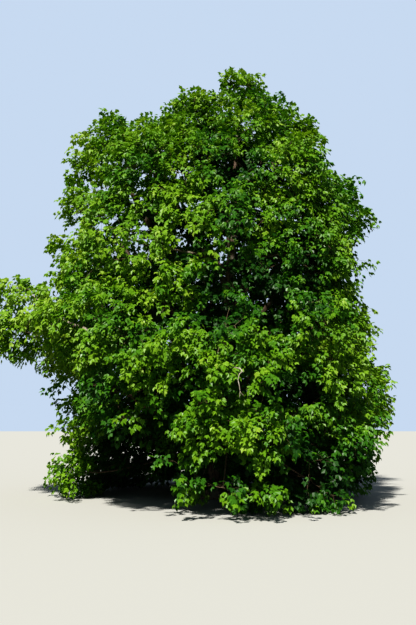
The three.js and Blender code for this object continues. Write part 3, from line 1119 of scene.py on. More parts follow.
class Crown:
    """All the masses of foliage, and the rule that spreads clumps of leaves over and between them."""

    # The room that clumps keep to each other, where it is less or more, and how many shoots they may have.
    room, more_where_open, more_in_valleys = 0.325, 0.5, 1.1
    closer_at_top, near_top = 0.14, Band(6.6, 7.6)
    inner_room, inner_room_low, low_down = 0.42, 0.34, Band(1.0, 2.2)
    flatten = 0.80
    most_shoots, most_inner_shoots, most_lone_shoots = 8, 5, 4

    # How deep the clumps of each kind lie under the faces or the outline, and how near the ground.
    depth, depth_shares = 0.32, (0.7, 1.15)
    valley_depths, valley_gap, valley_lowest = (0.40, 0.80), 0.05, 0.2
    inner_depths, heart_width, inner_lowest = (0.80, 2.2), 0.6, 0.15

    # Which faces carry clumps: those that look outward, those underneath less, and those inside hardly.
    outward_faces, upper_faces, buried = Band(-0.45, 0.15), Band(-0.8, -0.3), Band(0.55, 1.15)
    under_share = 0.5

    # How much a clump points along its face, out of the crown and up, and how much of that is chance.
    face_aim, loose_aim, leader_aim = (0.62, 0.5, 0.42, 0.2), (0.8, 0.5, 0.3), (0.4, 0.8)
    spray_middle = 0.2

    # The shelves in which leaves grow, with the least growth between them, and more of it high up.
    shelf_flatness, shelf_edge = 1.8, Band(-0.48, -0.12)
    shelves, shelf_details, detail_share = Lumps(1.05, 11.0), Lumps(2.4, 4.0), 0.5
    least_growth, more_growth_high, high_up = 0.1, 0.45, Band(6.2, 7.4)
    valley_growth = 0.3

    # The thin patches of the upper part, which end toward the top and are mostly to the left.
    thin_patches, thin_edge = Lumps(1.9, 23.0), Band(0.04, 0.26)
    to_left, right_share = Band(-0.4, 0.9), 0.3
    thin_foot, thin_top, top_left_share = Band(4.2, 5.0), Band(6.7, 7.6), 0.5
    thinned, speckled = 0.85, 0.9

    # The specks of sky in thin patches, the holes in gaps, and what stays of the leaves in gaps and recesses.
    specks, speck_edge = Lumps(6.0, 41.0), Band(0.0, 0.2)
    holes, hole_edge = Lumps(7.5, 17.0), Band(-0.16, 0.06)
    hole_share, recess_share = 0.25, 0.25

    # The shade inside is thinner halfway up, and behind the recesses, though less so low down.
    upper_half, top_part, middle_share = Band(4.2, 5.2), Band(6.3, 7.0), 0.4
    recess_cleared, recess_less_low = 0.6, 0.5

    # How deep under the outline a near spray lies, and where from the eye, in what steps, it is looked for.
    near_depth = 0.2
    near_reach = (10.5, 16.0, 0.03)

    # Which tops of masses lead, how far below its tip a leader branches, and how close its shoots keep.
    leader_depth = 0.6
    leader_drop = 0.40
    leader_band = 0.15
    top_room = 0.45
    leader_spread = 0.6

    # What counts as the near side, and how much wider than drawn an opening is for clumps, leaves and shade.
    front = Band(0.0, 0.35)
    opening_margin, opening_margin_of_leaves, opening_margin_of_shade = 0.16, 0.06, 0.12

    # How many places are tried on each square metre of the faces, in the valleys and deep inside.
    candidates_per_metre = 70
    valley_candidates = 12000
    deep_candidates = 8000

    def __init__(self, names: list[str]) -> None:
        self.names = names
        self.solids = [Solid(name) for name in names]
        points, faces = joined([(solid.points, solid.faces) for solid in self.solids])
        self.rays = BVHTree.FromPolygons(points.tolist(), faces.tolist())
        self.owners = np.repeat(np.arange(len(names)), [len(solid.faces) for solid in self.solids])
        self.outline = Outline(self.rays)

    def clumps(self) -> Clumps:
        """Spreads clumps over the faces of the masses, in the valleys between them and deeper in."""
        batches = [self._on_faces(number) for number in range(len(self.solids))]
        shell = Clumps.joined(batches)
        order = draws("order of the shell").permutation(len(shell.at))
        rng = draws("lone sprays")
        named = [
            self._loose(spots, self.outline.outward(spots), self.room, most, False, rng)
            for spots, most in (
                (np.array(LONE_SPRAYS), self.most_lone_shoots),
                (self._near(), self.most_shoots),
            )
        ]
        valleys, deep = self._in_valleys(), self._deep()
        return self._spaced(Clumps.joined([self._leaders(), *named, shell.picked(order), valleys, deep]))

    def _near(self) -> np.ndarray:
        """Where the lines of sight to the near sprays come a little inside the closed outline."""
        spots, reach = [], np.arange(*self.near_reach)[:, None]
        for x, z in NEAR_SPRAYS:
            line = EYE + unit(np.array([x, 0.0, z]) - EYE) * reach
            spots.append(line[(self.outline.depth(line) > self.near_depth).argmax()])
        return np.array(spots)

    def _leaders(self) -> Clumps:
        """The clumps at the leading tips, and at the top of each mass that no other mass hides."""
        tops = np.array([self._top_of(solid) for solid in self.solids])
        shown = np.flatnonzero(self.outline.depth(tops) < self.leader_depth)
        tips = np.array(LEADING_TIPS)
        owner = np.array([self.owners[self.rays.find_nearest(Vector(tip))[2]] for tip in tips])
        tops, owner = np.concatenate([tips, tops[shown]]), np.concatenate([owner, shown])
        out = self.outline.outward(tops)
        outward, upward = self.leader_aim
        axis = unit(upward * UP + outward * out)
        count = len(tops)
        at = tops - axis * self.leader_drop
        room = np.where(np.arange(count) < len(tips), self.room, self.top_room)
        most = np.full(count, self.most_shoots)
        spread = np.full(count, self.leader_spread)
        return Clumps(at, axis, out, owner, np.zeros(count, bool), room, most, spread)

    def _top_of(self, solid: Solid) -> np.ndarray:
        """The middle of the highest part of a mass, at the height of its top."""
        highest = solid.points[:, 2].max()
        near = solid.points[:, 2] > highest - self.leader_band
        return np.append(solid.points[near, :2].mean(0), highest)

    def _closeness(self, points: np.ndarray) -> np.ndarray:
        """What the room between clumps is multiplied by, which is less toward the crown's top."""
        return 1 - self.closer_at_top * self.near_top.passed(points[:, 2])

    def _shelves(self, points: np.ndarray) -> np.ndarray:
        """How well leaves grow at each point, up to 1: in shelves, with dark gaps between."""
        flat = points * [1.0, 1.0, self.shelf_flatness]
        patches = self.shelves.at(flat) + self.detail_share * self.shelf_details.at(flat)
        least = self.least_growth + self.more_growth_high * self.high_up.passed(points[:, 2])
        return at_least(least, self.shelf_edge.passed(patches))

    def _thinness(self, seen: np.ndarray) -> np.ndarray:
        """How thin the crown is along each line of sight, up to 1."""
        patches = self.thin_edge.passed(self.thin_patches.at(seen))
        left = self.to_left.passed(-seen[:, 0])
        below_top = 1 - self.thin_top.passed(seen[:, 2]) * (1 - self.top_left_share * left)
        return patches * self.thin_foot.passed(seen[:, 2]) * below_top * at_least(self.right_share, left)

    def _open(self, points: np.ndarray, seen: np.ndarray, margin: float) -> tuple[np.ndarray, np.ndarray]:
        """The shares that stay where the photograph shows sky, and where it shows dark recesses.

        Args:
            points: places in the crown.
            seen: where they are seen on the trunk's plane.
            margin: how much wider than drawn the openings are.

        Returns:
            The share in view of the sky gaps, and the share in view of the recesses on the near side.
        """
        sky, front = np.ones(len(points)), np.ones(len(points))
        for gap in SKY_GAPS:
            sky *= 1 - gap.cleared(seen, margin)
        facing = self.front.passed(-self.outline.outward(points)[:, 1])
        for recess in RECESSES:
            front *= 1 - recess.cleared(seen, margin) * facing
        return sky, front

    def shaded(self, points: np.ndarray) -> np.ndarray:
        """How deep in a recess each point lies as the eye sees it, from 0 to 1, for the painted shade there.
        """
        seen = seen_at(points)
        depths = [recess.cleared(seen, self.opening_margin_of_shade) for recess in RECESSES]
        return np.max(depths, axis=0)

    def _clumps_kept(self, points: np.ndarray) -> tuple[np.ndarray, np.ndarray]:
        """The shares of clumps that stay along lines of sight to the sky, and in front of the recesses."""
        seen = seen_at(points)
        sky, front = self._open(points, seen, self.opening_margin)
        return sky * (1 - self.thinned * self._thinness(seen)), front

    def leaves_kept(self, points: np.ndarray, inner: np.ndarray) -> np.ndarray:
        """The share of single leaves that stays, with a speckle of sky in gaps and thin patches.

        Args:
            points: the middles of the leaves.
            inner: which of them are in the shade inside.

        Returns:
            A share for each leaf.
        """
        seen = seen_at(points)
        sky, front = self._open(points, seen, self.opening_margin_of_leaves)
        specks = self.speck_edge.passed(self.specks.at(seen))
        holes = self.hole_edge.passed(self.holes.at(seen))
        sky = 1 - (1 - sky) * at_least(self.hole_share, holes)
        front = np.where(inner, 1.0, at_least(self.recess_share, front))
        return sky * front * (1 - self.speckled * specks * self._thinness(seen))

    def _on_faces(self, number: int) -> Clumps:
        """Clumps just under the outer faces of one mass."""
        solid = self.solids[number]
        rng = draws(solid.name)
        points, normals = solid.on_surface(int(solid.area() * self.candidates_per_metre), rng)
        out = self.outline.outward(points)
        open_share = OPENNESS.get(solid.name, 0.0)
        keep = (1 - open_share) * self.outward_faces.passed((normals * out).sum(1))
        keep *= at_least(self.under_share, self.upper_faces.passed(normals[:, 2]))
        keep *= 1 - self.buried.passed(self.outline.depth(points))
        sky, front = self._clumps_kept(points)
        keep *= sky * front * self._shelves(points)
        chosen = rng.random(len(points)) < keep
        points, normals, out = points[chosen], normals[chosen], out[chosen]
        count = len(points)
        at = points - normals * self.depth * rng.uniform(*self.depth_shares, (count, 1))
        straight, outward, upward, chance = self.face_aim
        axis = straight * normals + outward * out + upward * UP + rng.normal(0, chance, (count, 3))
        room = self.room * (1 + self.more_where_open * open_share) * self._closeness(at)
        most = np.full(count, self.most_shoots)
        owner, spread = np.full(count, number), np.ones(count)
        return Clumps(at, unit(axis), out, owner, np.zeros(count, bool), room, most, spread)

    def _in_valleys(self) -> Clumps:
        """Clumps in the open air between masses, a little inside the closed outline."""
        rng = draws("valleys")
        bearing, station = self.outline.scattered(self.valley_candidates, rng)
        hearts, ways = self.outline.ways(bearing, station)
        reach = self.outline.reach(bearing, station) - rng.uniform(*self.valley_depths, len(bearing))
        at = hearts + ways * reach[:, None]
        sky, front = self._clumps_kept(at)
        keep = at_least(self.valley_growth, self._shelves(at)) * sky * front
        keep *= reach > self.outline.first_hit(bearing, station) + self.valley_gap
        keep *= at[:, 2] > self.valley_lowest
        chosen = rng.random(len(at)) < keep
        room = self.room * self.more_in_valleys
        return self._loose(at[chosen], ways[chosen], room, self.most_shoots, False, rng)

    def _deep(self) -> Clumps:
        """Clumps in the shade well inside the crown."""
        rng = draws("deep")
        bearing, station = self.outline.scattered(self.deep_candidates, rng)
        hearts, ways = self.outline.ways(bearing, station)
        reach = self.outline.reach(bearing, station) - rng.uniform(*self.inner_depths, len(bearing))
        at = hearts + ways * reach[:, None]
        sky, front = self._clumps_kept(at)
        keep = sky * (reach > self.heart_width) * (at[:, 2] > self.inner_lowest)
        low = 1 - self.upper_half.passed(at[:, 2])
        keep *= at_least(self.middle_share, np.maximum(low, self.top_part.passed(at[:, 2])))
        keep *= 1 - (self.recess_cleared - self.recess_less_low * low) * (1 - front)
        chosen = rng.random(len(at)) < keep
        at, ways = at[chosen], ways[chosen]
        deep = self._loose(at, ways, self.inner_room, self.most_inner_shoots, True, rng)
        more = self.inner_room - self.inner_room_low
        deep.room = self.inner_room_low + more * self.low_down.passed(at[:, 2])
        deep.room *= self._closeness(at)
        return deep

    def _loose(
        self,
        at: np.ndarray,
        out: np.ndarray,
        room: float,
        most: int,
        inner: bool,
        rng: np.random.Generator,
    ) -> Clumps:
        """Clumps that belong to the masses nearest to them."""
        count = len(at)
        owner = np.array([self.owners[self.rays.find_nearest(Vector(p))[2]] for p in at])
        outward, upward, chance = self.loose_aim
        axis = unit(outward * out + upward * UP + rng.normal(0, chance, (count, 3)))
        wide, shoots = np.full(count, room), np.full(count, most)
        return Clumps(at, axis, out, owner, np.full(count, inner), wide, shoots, np.ones(count))

    def _spaced(self, clumps: Clumps) -> Clumps:
        """Keeps the clumps that have room, in their order, and clears the wood that shows."""
        scaled = clumps.at * [1.0, 1.0, self.flatten]
        kept = np.zeros(len(scaled), int)
        count = 0
        for k in range(len(scaled)):
            gaps = ((scaled[kept[:count]] - scaled[k]) ** 2).sum(1)
            if count == 0 or gaps.min() > clumps.room[k] ** 2:
                kept[count] = k
                count += 1
        spaced = clumps.picked(kept[:count])
        bare = np.zeros(count, bool)
        for stretch in BARE_STRETCHES:
            bare |= stretch.hidden_by(spaced.at + spaced.axis * self.spray_middle, stretch.clear)
        return spaced.picked(~bare)


@dataclass(frozen=True)
class DeadTwig:
    """A pale dead twig that hangs in front of the leaves, with a forked end.

    It comes from deep in the foremost mass, and each route is a list of places with the radius at each.
    """

    stem: Route
    spurs: tuple[Route, ...]
    clear: ClassVar[float] = 0.09
    clear_of_leaves: ClassVar[float] = 0.035
    shown_from: ClassVar[int] = 3

    def stretches(self) -> list[tuple[str, tuple[np.ndarray, np.ndarray]]]:
        """The name, path and radii of each stretch."""
        made = []
        for number, route in enumerate((self.stem, *self.spurs)):
            points = np.array(route)
            made.append((f"dead_twig_{number}", (points[:, :3], points[:, 3])))
        return made

    def bare(self) -> list[BareStretch]:
        """The stretches that no spray hides."""
        shown = [spot[:3] for spot in self.stem[self.shown_from :]]
        pairs = zip(shown, shown[1:], strict=False)
        return [BareStretch(a, b, self.clear, self.clear_of_leaves) for a, b in pairs]


DEAD_TWIG = DeadTwig(
    stem=(
        (0.02, -2.67, 2.46, 0.014),
        (0.25, -3.20, 2.36, 0.011),
        (0.45, -3.58, 2.30, 0.009),
        (0.48, -3.68, 2.25, 0.008),
        (0.43, -3.71, 2.21, 0.008),
        (0.41, -3.71, 2.12, 0.007),
        (0.43, -3.72, 2.03, 0.007),
        (0.44, -3.72, 1.94, 0.007),
        (0.43, -3.71, 1.85, 0.003),
    ),
    spurs=(((0.44, -3.72, 1.95, 0.005), (0.47, -3.71, 1.91, 0.004), (0.50, -3.70, 1.88, 0.002)),),
)

BARE_STRETCHES = (
    BareStretch((-2.25, -1.22, 3.28), (-2.72, -1.15, 3.36), clear=0.13, clear_of_leaves=0.045),
    BareStretch((0.02, -0.22, 0.62), (0.02, -0.24, 0.46), clear=0.2, clear_of_leaves=0.08),
    *DEAD_TWIG.bare(),
)


# Branches


@dataclass
class Stretch:
    """One stretch of branch between two forks."""

    start: np.ndarray
    end: np.ndarray
    leaving: np.ndarray
    arriving: np.ndarray
    thick: float
    thin: float


class Branching:
    """The seeded rule by which branches fork from a limb until each end carries one clump."""

    end_radius = 0.0036
    pipe_power = 0.5
    lowest = 0.004
    most_taper = 1.3

    # Where a branch forks on its way, how far that place strays and lifts, and where the branch then points.
    fork_shares, stray, lift = (0.38, 0.56), 0.05, 0.05
    toward_shoots, arriving_lift, from_below = 0.35, 0.1, 0.45

    # How much nearness counts against direction when ends are parted, and in how many rounds that is done.
    nearness, rounds = 0.15, 5

    # The radii from and up to which a tube has so many sides and so many steps.
    tubes = ((0.012, 1.0, 7, 6), (0.006, 0.012, 5, 4), (0.0, 0.006, 3, 3))

    def __init__(self) -> None:
        self.stretches: list[Stretch] = []

    def radius(self, clumps: int) -> float:
        """The radius of a branch that feeds this many clumps."""
        return self.end_radius * max(clumps, 1) ** self.pipe_power

    def fork(
        self,
        at: np.ndarray,
        heading: np.ndarray,
        ends: np.ndarray,
        axes: np.ndarray,
        rng: np.random.Generator,
        thick: float | None = None,
    ) -> None:
        """Grows from one fork to a set of ends.

        Args:
            at: the fork.
            heading: the direction in which the branch below it arrives.
            ends: where its clumps are.
            axes: the directions in which the clumps' shoots point.
            rng: the stream of random numbers.
            thick: the radius of the branch below it.
        """
        for group in self._split(at, ends):
            middle = ends[group].mean(0)
            gap = middle - at
            own = self.radius(len(group))
            begun = min(thick or own, own * self.most_taper)
            if len(group) == 1:
                self._grow(at, ends[group[0]], heading, axes[group[0]], begun, self.end_radius)
                continue
            span = np.linalg.norm(gap)
            share = rng.uniform(*self.fork_shares)
            next_at = at + gap * share + rng.normal(0, self.stray, 3) * span + UP * self.lift * span
            aim = self.toward_shoots * span * axes[group].mean(0)
            arriving = unit(gap + aim + UP * self.arriving_lift * span)
            self._grow(at, next_at, heading, arriving, begun, own)
            self.fork(next_at, arriving, ends[group], axes[group], rng, own)

    def _grow(
        self,
        start: np.ndarray,
        end: np.ndarray,
        heading: np.ndarray,
        arriving: np.ndarray,
        thick: float,
        thin: float,
    ) -> None:
        """Adds one stretch, which bends away from the heading of the branch below it."""
        chord = unit(end - start)
        leaving = unit(self.from_below * heading + (1 - self.from_below) * chord)
        self.stretches.append(Stretch(start, end, leaving, unit(0.5 * chord + 0.5 * arriving), thick, thin))

    def _split(self, at: np.ndarray, ends: np.ndarray) -> list[np.ndarray]:
        """Parts the ends into two groups by the direction in which they lie. Two ends go one by one."""
        if len(ends) <= 2:
            return [np.array([k]) for k in range(len(ends))]
        ways = unit(ends - at) + self.nearness * (ends - at)
        far = int(((ways - ways.mean(0)) ** 2).sum(1).argmax())
        other = int(((ways - ways[far]) ** 2).sum(1).argmax())
        centres = ways[[far, other]]
        for _ in range(self.rounds):
            nearer = ((ways[:, None] - centres[None]) ** 2).sum(2).argmin(1)
            if nearer.min() == nearer.max():
                break
            centres = np.stack([ways[nearer == k].mean(0) for k in range(2)])
        if nearer.min() == nearer.max():
            nearer = np.arange(len(ends)) % 2
        return [np.flatnonzero(nearer == k) for k in range(2)]

    def meshes(self) -> list[Mesh]:
        """Tubes for all the stretches, with more sides on the thicker ones."""
        made = []
        for low, high, sides, steps in self.tubes:
            some = [s for s in self.stretches if low <= s.thick < high]
            if not some:
                continue
            ends = ("start", "end", "leaving", "arriving")
            curves = Curves(*(np.array([getattr(s, k) for s in some]) for k in ends))
            thick = np.array([s.thick for s in some])
            thin = np.array([s.thin for s in some])
            points, faces = curves.swept(thick, thin, sides, steps)
            points[:, 2] = np.maximum(points[:, 2], self.lowest)
            made.append((points, faces))
        return made



# Shoots and leaves


@dataclass
class Shoots:
    """The leafy shoots at the ends of the branches, as curves, with the clump that each belongs to."""

    curves: Curves
    clump: np.ndarray
    outward: np.ndarray
    vigour: np.ndarray
    lowest: ClassVar[float] = 0.03
    fewer: ClassVar[int] = 2
    tilts: ClassVar[tuple[float, float]] = (38, 82)
    chance: ClassVar[float] = 0.08
    middle_lengths: ClassVar[tuple[float, float]] = (0.30, 0.43)
    lengths: ClassVar[tuple[float, float]] = (0.22, 0.39)
    step_down: ClassVar[float] = 0.025
    most_down: ClassVar[float] = 0.12
    droops: ClassVar[tuple[float, float]] = (0.1, 0.42)
    flatten: ClassVar[float] = 0.8
    lift: ClassVar[float] = 0.25
    tip_droops: ClassVar[tuple[float, float]] = (0.3, 0.8)

    @classmethod
    def of(cls, clumps: Clumps) -> "Shoots":
        """Spreads an umbrella of shoots from each clump's end.

        Args:
            clumps: the ends of the branches.

        Returns:
            All the shoots.
        """
        rng = draws("shoots")
        rows = []
        for k in range(len(clumps.at)):
            axis = clumps.axis[k]
            side = unit(np.cross(axis, UP + 1e-3))
            over = np.cross(side, axis)
            count = rng.integers(clumps.most[k] - cls.fewer, clumps.most[k] + 1)
            first_turn = rng.uniform(0, 2 * math.pi)
            for n in range(count):
                tilt = 0.0 if n == 0 else math.radians(rng.uniform(*cls.tilts)) * clumps.spread[k]
                turn = first_turn + n * GOLDEN_ANGLE
                around = side * math.cos(turn) + over * math.sin(turn)
                way = unit(axis * math.cos(tilt) + around * math.sin(tilt) + rng.normal(0, cls.chance, 3))
                length = rng.uniform(*(cls.middle_lengths if n == 0 else cls.lengths))
                start = clumps.at[k] - axis * min(cls.step_down * n, cls.most_down)
                droop = -UP * length * rng.uniform(*cls.droops)
                end = start + way * length * [1, 1, cls.flatten] + droop
                end[2] = max(end[2], cls.lowest)
                arriving = unit(way - UP * rng.uniform(*cls.tip_droops))
                vigour = rng.uniform(0.0, 1.0)
                rows.append((start, end, unit(way + cls.lift * UP), arriving, k, clumps.outward[k], vigour))
        columns = [np.array(column) for column in zip(*rows, strict=True)]
        return cls(Curves(*columns[:4]), *columns[4:])


@dataclass(frozen=True)
class LeafShape:
    """A five-lobed blade of unit length: half its outline, from the basal lobe to the tip.

    Each corner is how far it lies to the side, along the midrib and above it.
    """

    half: tuple[Spot, ...]

    def blade(self) -> Mesh:
        """The blade's points and triangles, as a fan from its foot."""
        right = [np.array(p) for p in self.half]
        left = [p * [-1, 1, 1] for p in reversed(right[:-1])]
        points = np.array([np.zeros(3), *right, *left])
        rim = len(points) - 1
        faces = np.array([(0, k, k + 1) for k in range(1, rim)])
        return points, faces


OUTER_LEAF = LeafShape(((0.34, -0.14, -0.10), (0.59, 0.43, -0.22), (0.28, 0.57, -0.03), (0.0, 1.02, -0.28)))
INNER_LEAF = LeafShape(((0.36, -0.12, -0.08), (0.56, 0.42, -0.16), (0.33, 0.62, -0.04), (0.0, 1.0, -0.2)))


@dataclass
class Leaves(Batch):
    """Leaves as arrays: the foot of each blade, its three directions, its size and its tint."""

    node: np.ndarray
    foot: np.ndarray
    along: np.ndarray
    face: np.ndarray
    size: np.ndarray
    curl: np.ndarray
    tint: np.ndarray
    zone: np.ndarray
    inner: np.ndarray
    half_stalk: ClassVar[float] = 0.0016

    def corners(self, shape: LeafShape) -> tuple[np.ndarray, np.ndarray]:
        """The blades and their stalks as leaves x points x 3, and the triangles of one leaf."""
        points, faces = shape.blade()
        across = np.cross(self.along, self.face)
        scaled = points[None] * self.size[:, None, None]
        lift = scaled[:, :, 2:] * self.curl[:, None, None]
        blades = (
            self.foot[:, None]
            + scaled[:, :, :1] * across[:, None]
            + scaled[:, :, 1:2] * self.along[:, None]
            + lift * self.face[:, None]
        )
        wide = across * self.half_stalk
        stalks = np.stack([self.foot + wide, self.foot - wide, self.node], 1)
        first = len(points)
        return np.concatenate([blades, stalks], 1), np.vstack([faces, [first, first + 1, first + 2]])


class Foliage:
    """Hangs leaves in opposite pairs along the shoots, and deals out their tints by spray."""

    pairs = (0.22, 0.38, 0.54, 0.70, 0.85, 1.0)
    stalk = 0.085
    ground_clearance = 0.012
    over_box = 0.14
    cool_share = 0.25
    younger_share = 0.3
    # Painted shade: how much darker the tints of sprays behind a recess are dealt.
    recess_shade = 0.4
    lightward = np.array([-0.28, -0.96, 0.0])
    arm_turn = 0.7

    # How light a spray is, with drifts over the crown, differences from spray to spray and painted shade for
    # the sprays inside, and the steps at which one tint gives way to the next.
    usual_light, inner_shade, vigour_share = 0.55, 0.5, 0.16
    drifts, drift_share, sprays, spray_share = Lumps(0.9, 7.0), 0.42, Lumps(3.1, 3.0), 0.22
    steps = (0.02, 0.20, 0.44, 0.66, 0.96)

    # How a leaf's stalk turns from its pair's direction, points forward, and shortens toward the shoot's tip.
    turn_chance, forward, forward_at_tip, stalk_lift, stalk_chance = 0.25, 0.55, 1.4, 0.3, 0.15
    stalk_lengths, stalk_at_foot, stalk_shortening = (0.7, 1.25), 1.25, 0.55

    # How far a blade follows its stalk, hangs and faces up and out.
    hangs, along_stalk, along_outward = (0.3, 1.3), 0.75, 0.5
    face_up, face_outward, face_chance = 0.85, 0.8, 0.48

    # A blade's length, how it falls toward the shoot's tip, how much longer it is in the shade, and its curl.
    lengths, length_at_foot, length_fall, longer_inside = (0.077, 0.113), 1.08, 0.24, 0.15
    curls, young_from = (0.5, 2.3), 0.8

    # What is lifted clear of the ground, and by how much at most.
    low_node, most_lift = 0.02, 0.2

    def __init__(self, crown: Crown, clumps: Clumps, shoots: Shoots) -> None:
        self.crown, self.clumps, self.shoots = crown, clumps, shoots
        self.zones = np.array([list(Zone).index(Zone.of(name)) for name in crown.names])
        self.lightness = np.array([PAINTED_LIGHT_BY_MASS.get(name, 0.0) for name in crown.names])

    def _ranks(self) -> np.ndarray:
        """Each shoot's place on the tint ladder: lighter outside, in drifts, with painted shade inside and in
        recesses.
        """
        at = self.shoots.curves.end
        light = self.usual_light + self.drift_share * self.drifts.at(at)
        light = light + self.spray_share * self.sprays.at(at)
        light = light + self.vigour_share * (self.shoots.vigour - 0.5) * 2
        # Painted shade for the sprays inside.
        light = light - self.inner_shade * self.clumps.inner[self.shoots.clump]
        # Painted light and shade of the spray's mass.
        light = light + self.lightness[self.clumps.mass[self.shoots.clump]]
        # Painted shade behind the recesses.
        light = light - self.recess_shade * self.crown.shaded(at)
        return np.searchsorted(self.steps, light)

    @staticmethod
    def _dealt(ranks: np.ndarray, cool: np.ndarray) -> np.ndarray:
        """The tints for places on the ladder, with the cooler green, partly painted sky reflection, for some
        middle sprays.
        """
        ladder = [Tint.SHADE, Tint.DEEP, Tint.MID, Tint.FRESH, Tint.BRIGHT, Tint.YOUNG]
        tints = np.array([tint.value for tint in ladder])[np.clip(ranks, 0, len(ladder) - 1)]
        return np.where(cool & (tints == Tint.MID.value), Tint.COOL.value, tints)

    def leaves(self) -> Leaves:
        """Every leaf of the tree."""
        rng = draws("leaves")
        ranks = self._ranks()
        points, ways = self.shoots.curves.at(np.array(self.pairs))
        across, over = across_and_over(ways)
        inner = self.clumps.inner[self.shoots.clump]
        zone = self.zones[self.clumps.mass[self.shoots.clump]]
        turned = (zone == list(Zone).index(Zone.ARM))[:, None] * self.arm_turn * self.lightward
        count = len(inner)
        first_turn = rng.uniform(0, math.pi, count)
        cool = rng.random(count) < self.cool_share
        parts = []
        for number, share in enumerate(self.pairs):
            turns = (0.0, math.pi, math.pi / 2) if share == 1.0 else (0.0, math.pi)
            for extra in turns:
                chance = rng.normal(0, self.turn_chance, count)
                turn = (first_turn + number * math.pi / 2 + extra + chance)[:, None]
                side = np.cos(turn) * across[:, number] + np.sin(turn) * over[:, number]
                way = ways[:, number]
                forward = self.forward_at_tip if extra == math.pi / 2 else self.forward
                chance = rng.normal(0, self.stalk_chance, (count, 3))
                stalk = unit(side + forward * way + self.stalk_lift * UP + chance)
                length = self.stalk * rng.uniform(*self.stalk_lengths, (count, 1))
                length = length * (self.stalk_at_foot - self.stalk_shortening * share)
                node = points[:, number]
                foot = node + stalk * length
                hang = rng.uniform(*self.hangs, count)[:, None]
                along = unit(self.along_stalk * stalk + self.along_outward * self.shoots.outward - hang * UP)
                chance = rng.normal(0, self.face_chance, (count, 3))
                face = UP * self.face_up + self.face_outward * self.shoots.outward + turned + chance
                face = unit(face - (face * along).sum(1, keepdims=True) * along)
                size = rng.uniform(*self.lengths, count) * (self.length_at_foot - self.length_fall * share)
                size = size * (1 + self.longer_inside * inner)
                curl = rng.uniform(*self.curls, count)
                younger = (rng.random(count) < self.younger_share) * (share > self.young_from)
                tint = self._dealt(ranks + younger, cool)
                parts.append(Leaves(node, foot, along, face, size, curl, tint, zone, inner))
        every = Leaves.joined(parts)
        kept = self.crown.leaves_kept(every.foot, every.inner)
        return self._fitting(every.picked(rng.random(len(kept)) < kept))

    def _fitting(self, leaves: Leaves) -> Leaves:
        """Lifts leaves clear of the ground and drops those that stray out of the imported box."""
        low, high = (np.array(corner) for corner in CAD_BOX)
        corners, _ = leaves.corners(OUTER_LEAF)
        inside = ((corners > low - self.over_box) & (corners < high + self.over_box)).all((1, 2))
        inside |= (corners[:, :, 2] <= low[2]).any(1) & (leaves.node[:, 2] > self.low_node)
        leaves, corners = leaves.picked(inside), corners[inside]
        lift = np.maximum(self.ground_clearance - corners[:, :, 2].min(1), 0)
        shown = lift < self.most_lift
        for stretch in BARE_STRETCHES:
            shown &= ~stretch.hidden_by(corners.mean(1), stretch.clear_of_leaves)
        leaves.foot[:, 2] += lift
        leaves.node[:, 2] += np.maximum(self.ground_clearance - leaves.node[:, 2], 0)
        return leaves.picked(shown)

    def build(self, finishes: list[bpy.types.Material]) -> None:
        """Makes the pieces of leaves, one for each zone of the crown."""
        leaves = self.leaves()
        log.info("%d leaves on %d shoots", len(leaves.size), len(self.shoots.clump))
        for number, zone in enumerate(Zone):
            masses = [name for name in self.crown.names if Zone.of(name) is zone]
            parts, worn = [], []
            for shape, inner in ((OUTER_LEAF, False), (INNER_LEAF, True)):
                some = leaves.picked((leaves.zone == number) & (leaves.inner == inner))
                corners, faces = some.corners(shape)
                per_leaf = corners.shape[1]
                all_faces = faces[None] + (np.arange(len(corners)) * per_leaf)[:, None, None]
                parts.append((corners.reshape(-1, 3), all_faces.reshape(-1, 3)))
                worn.append(np.repeat(some.tint, len(faces)))
            name = f"leaves_{zone.name.lower()}"
            piece = mesh_piece(name, *joined(parts), finishes, np.concatenate(worn), smooth=False)
            place(piece, masses)


# The tree


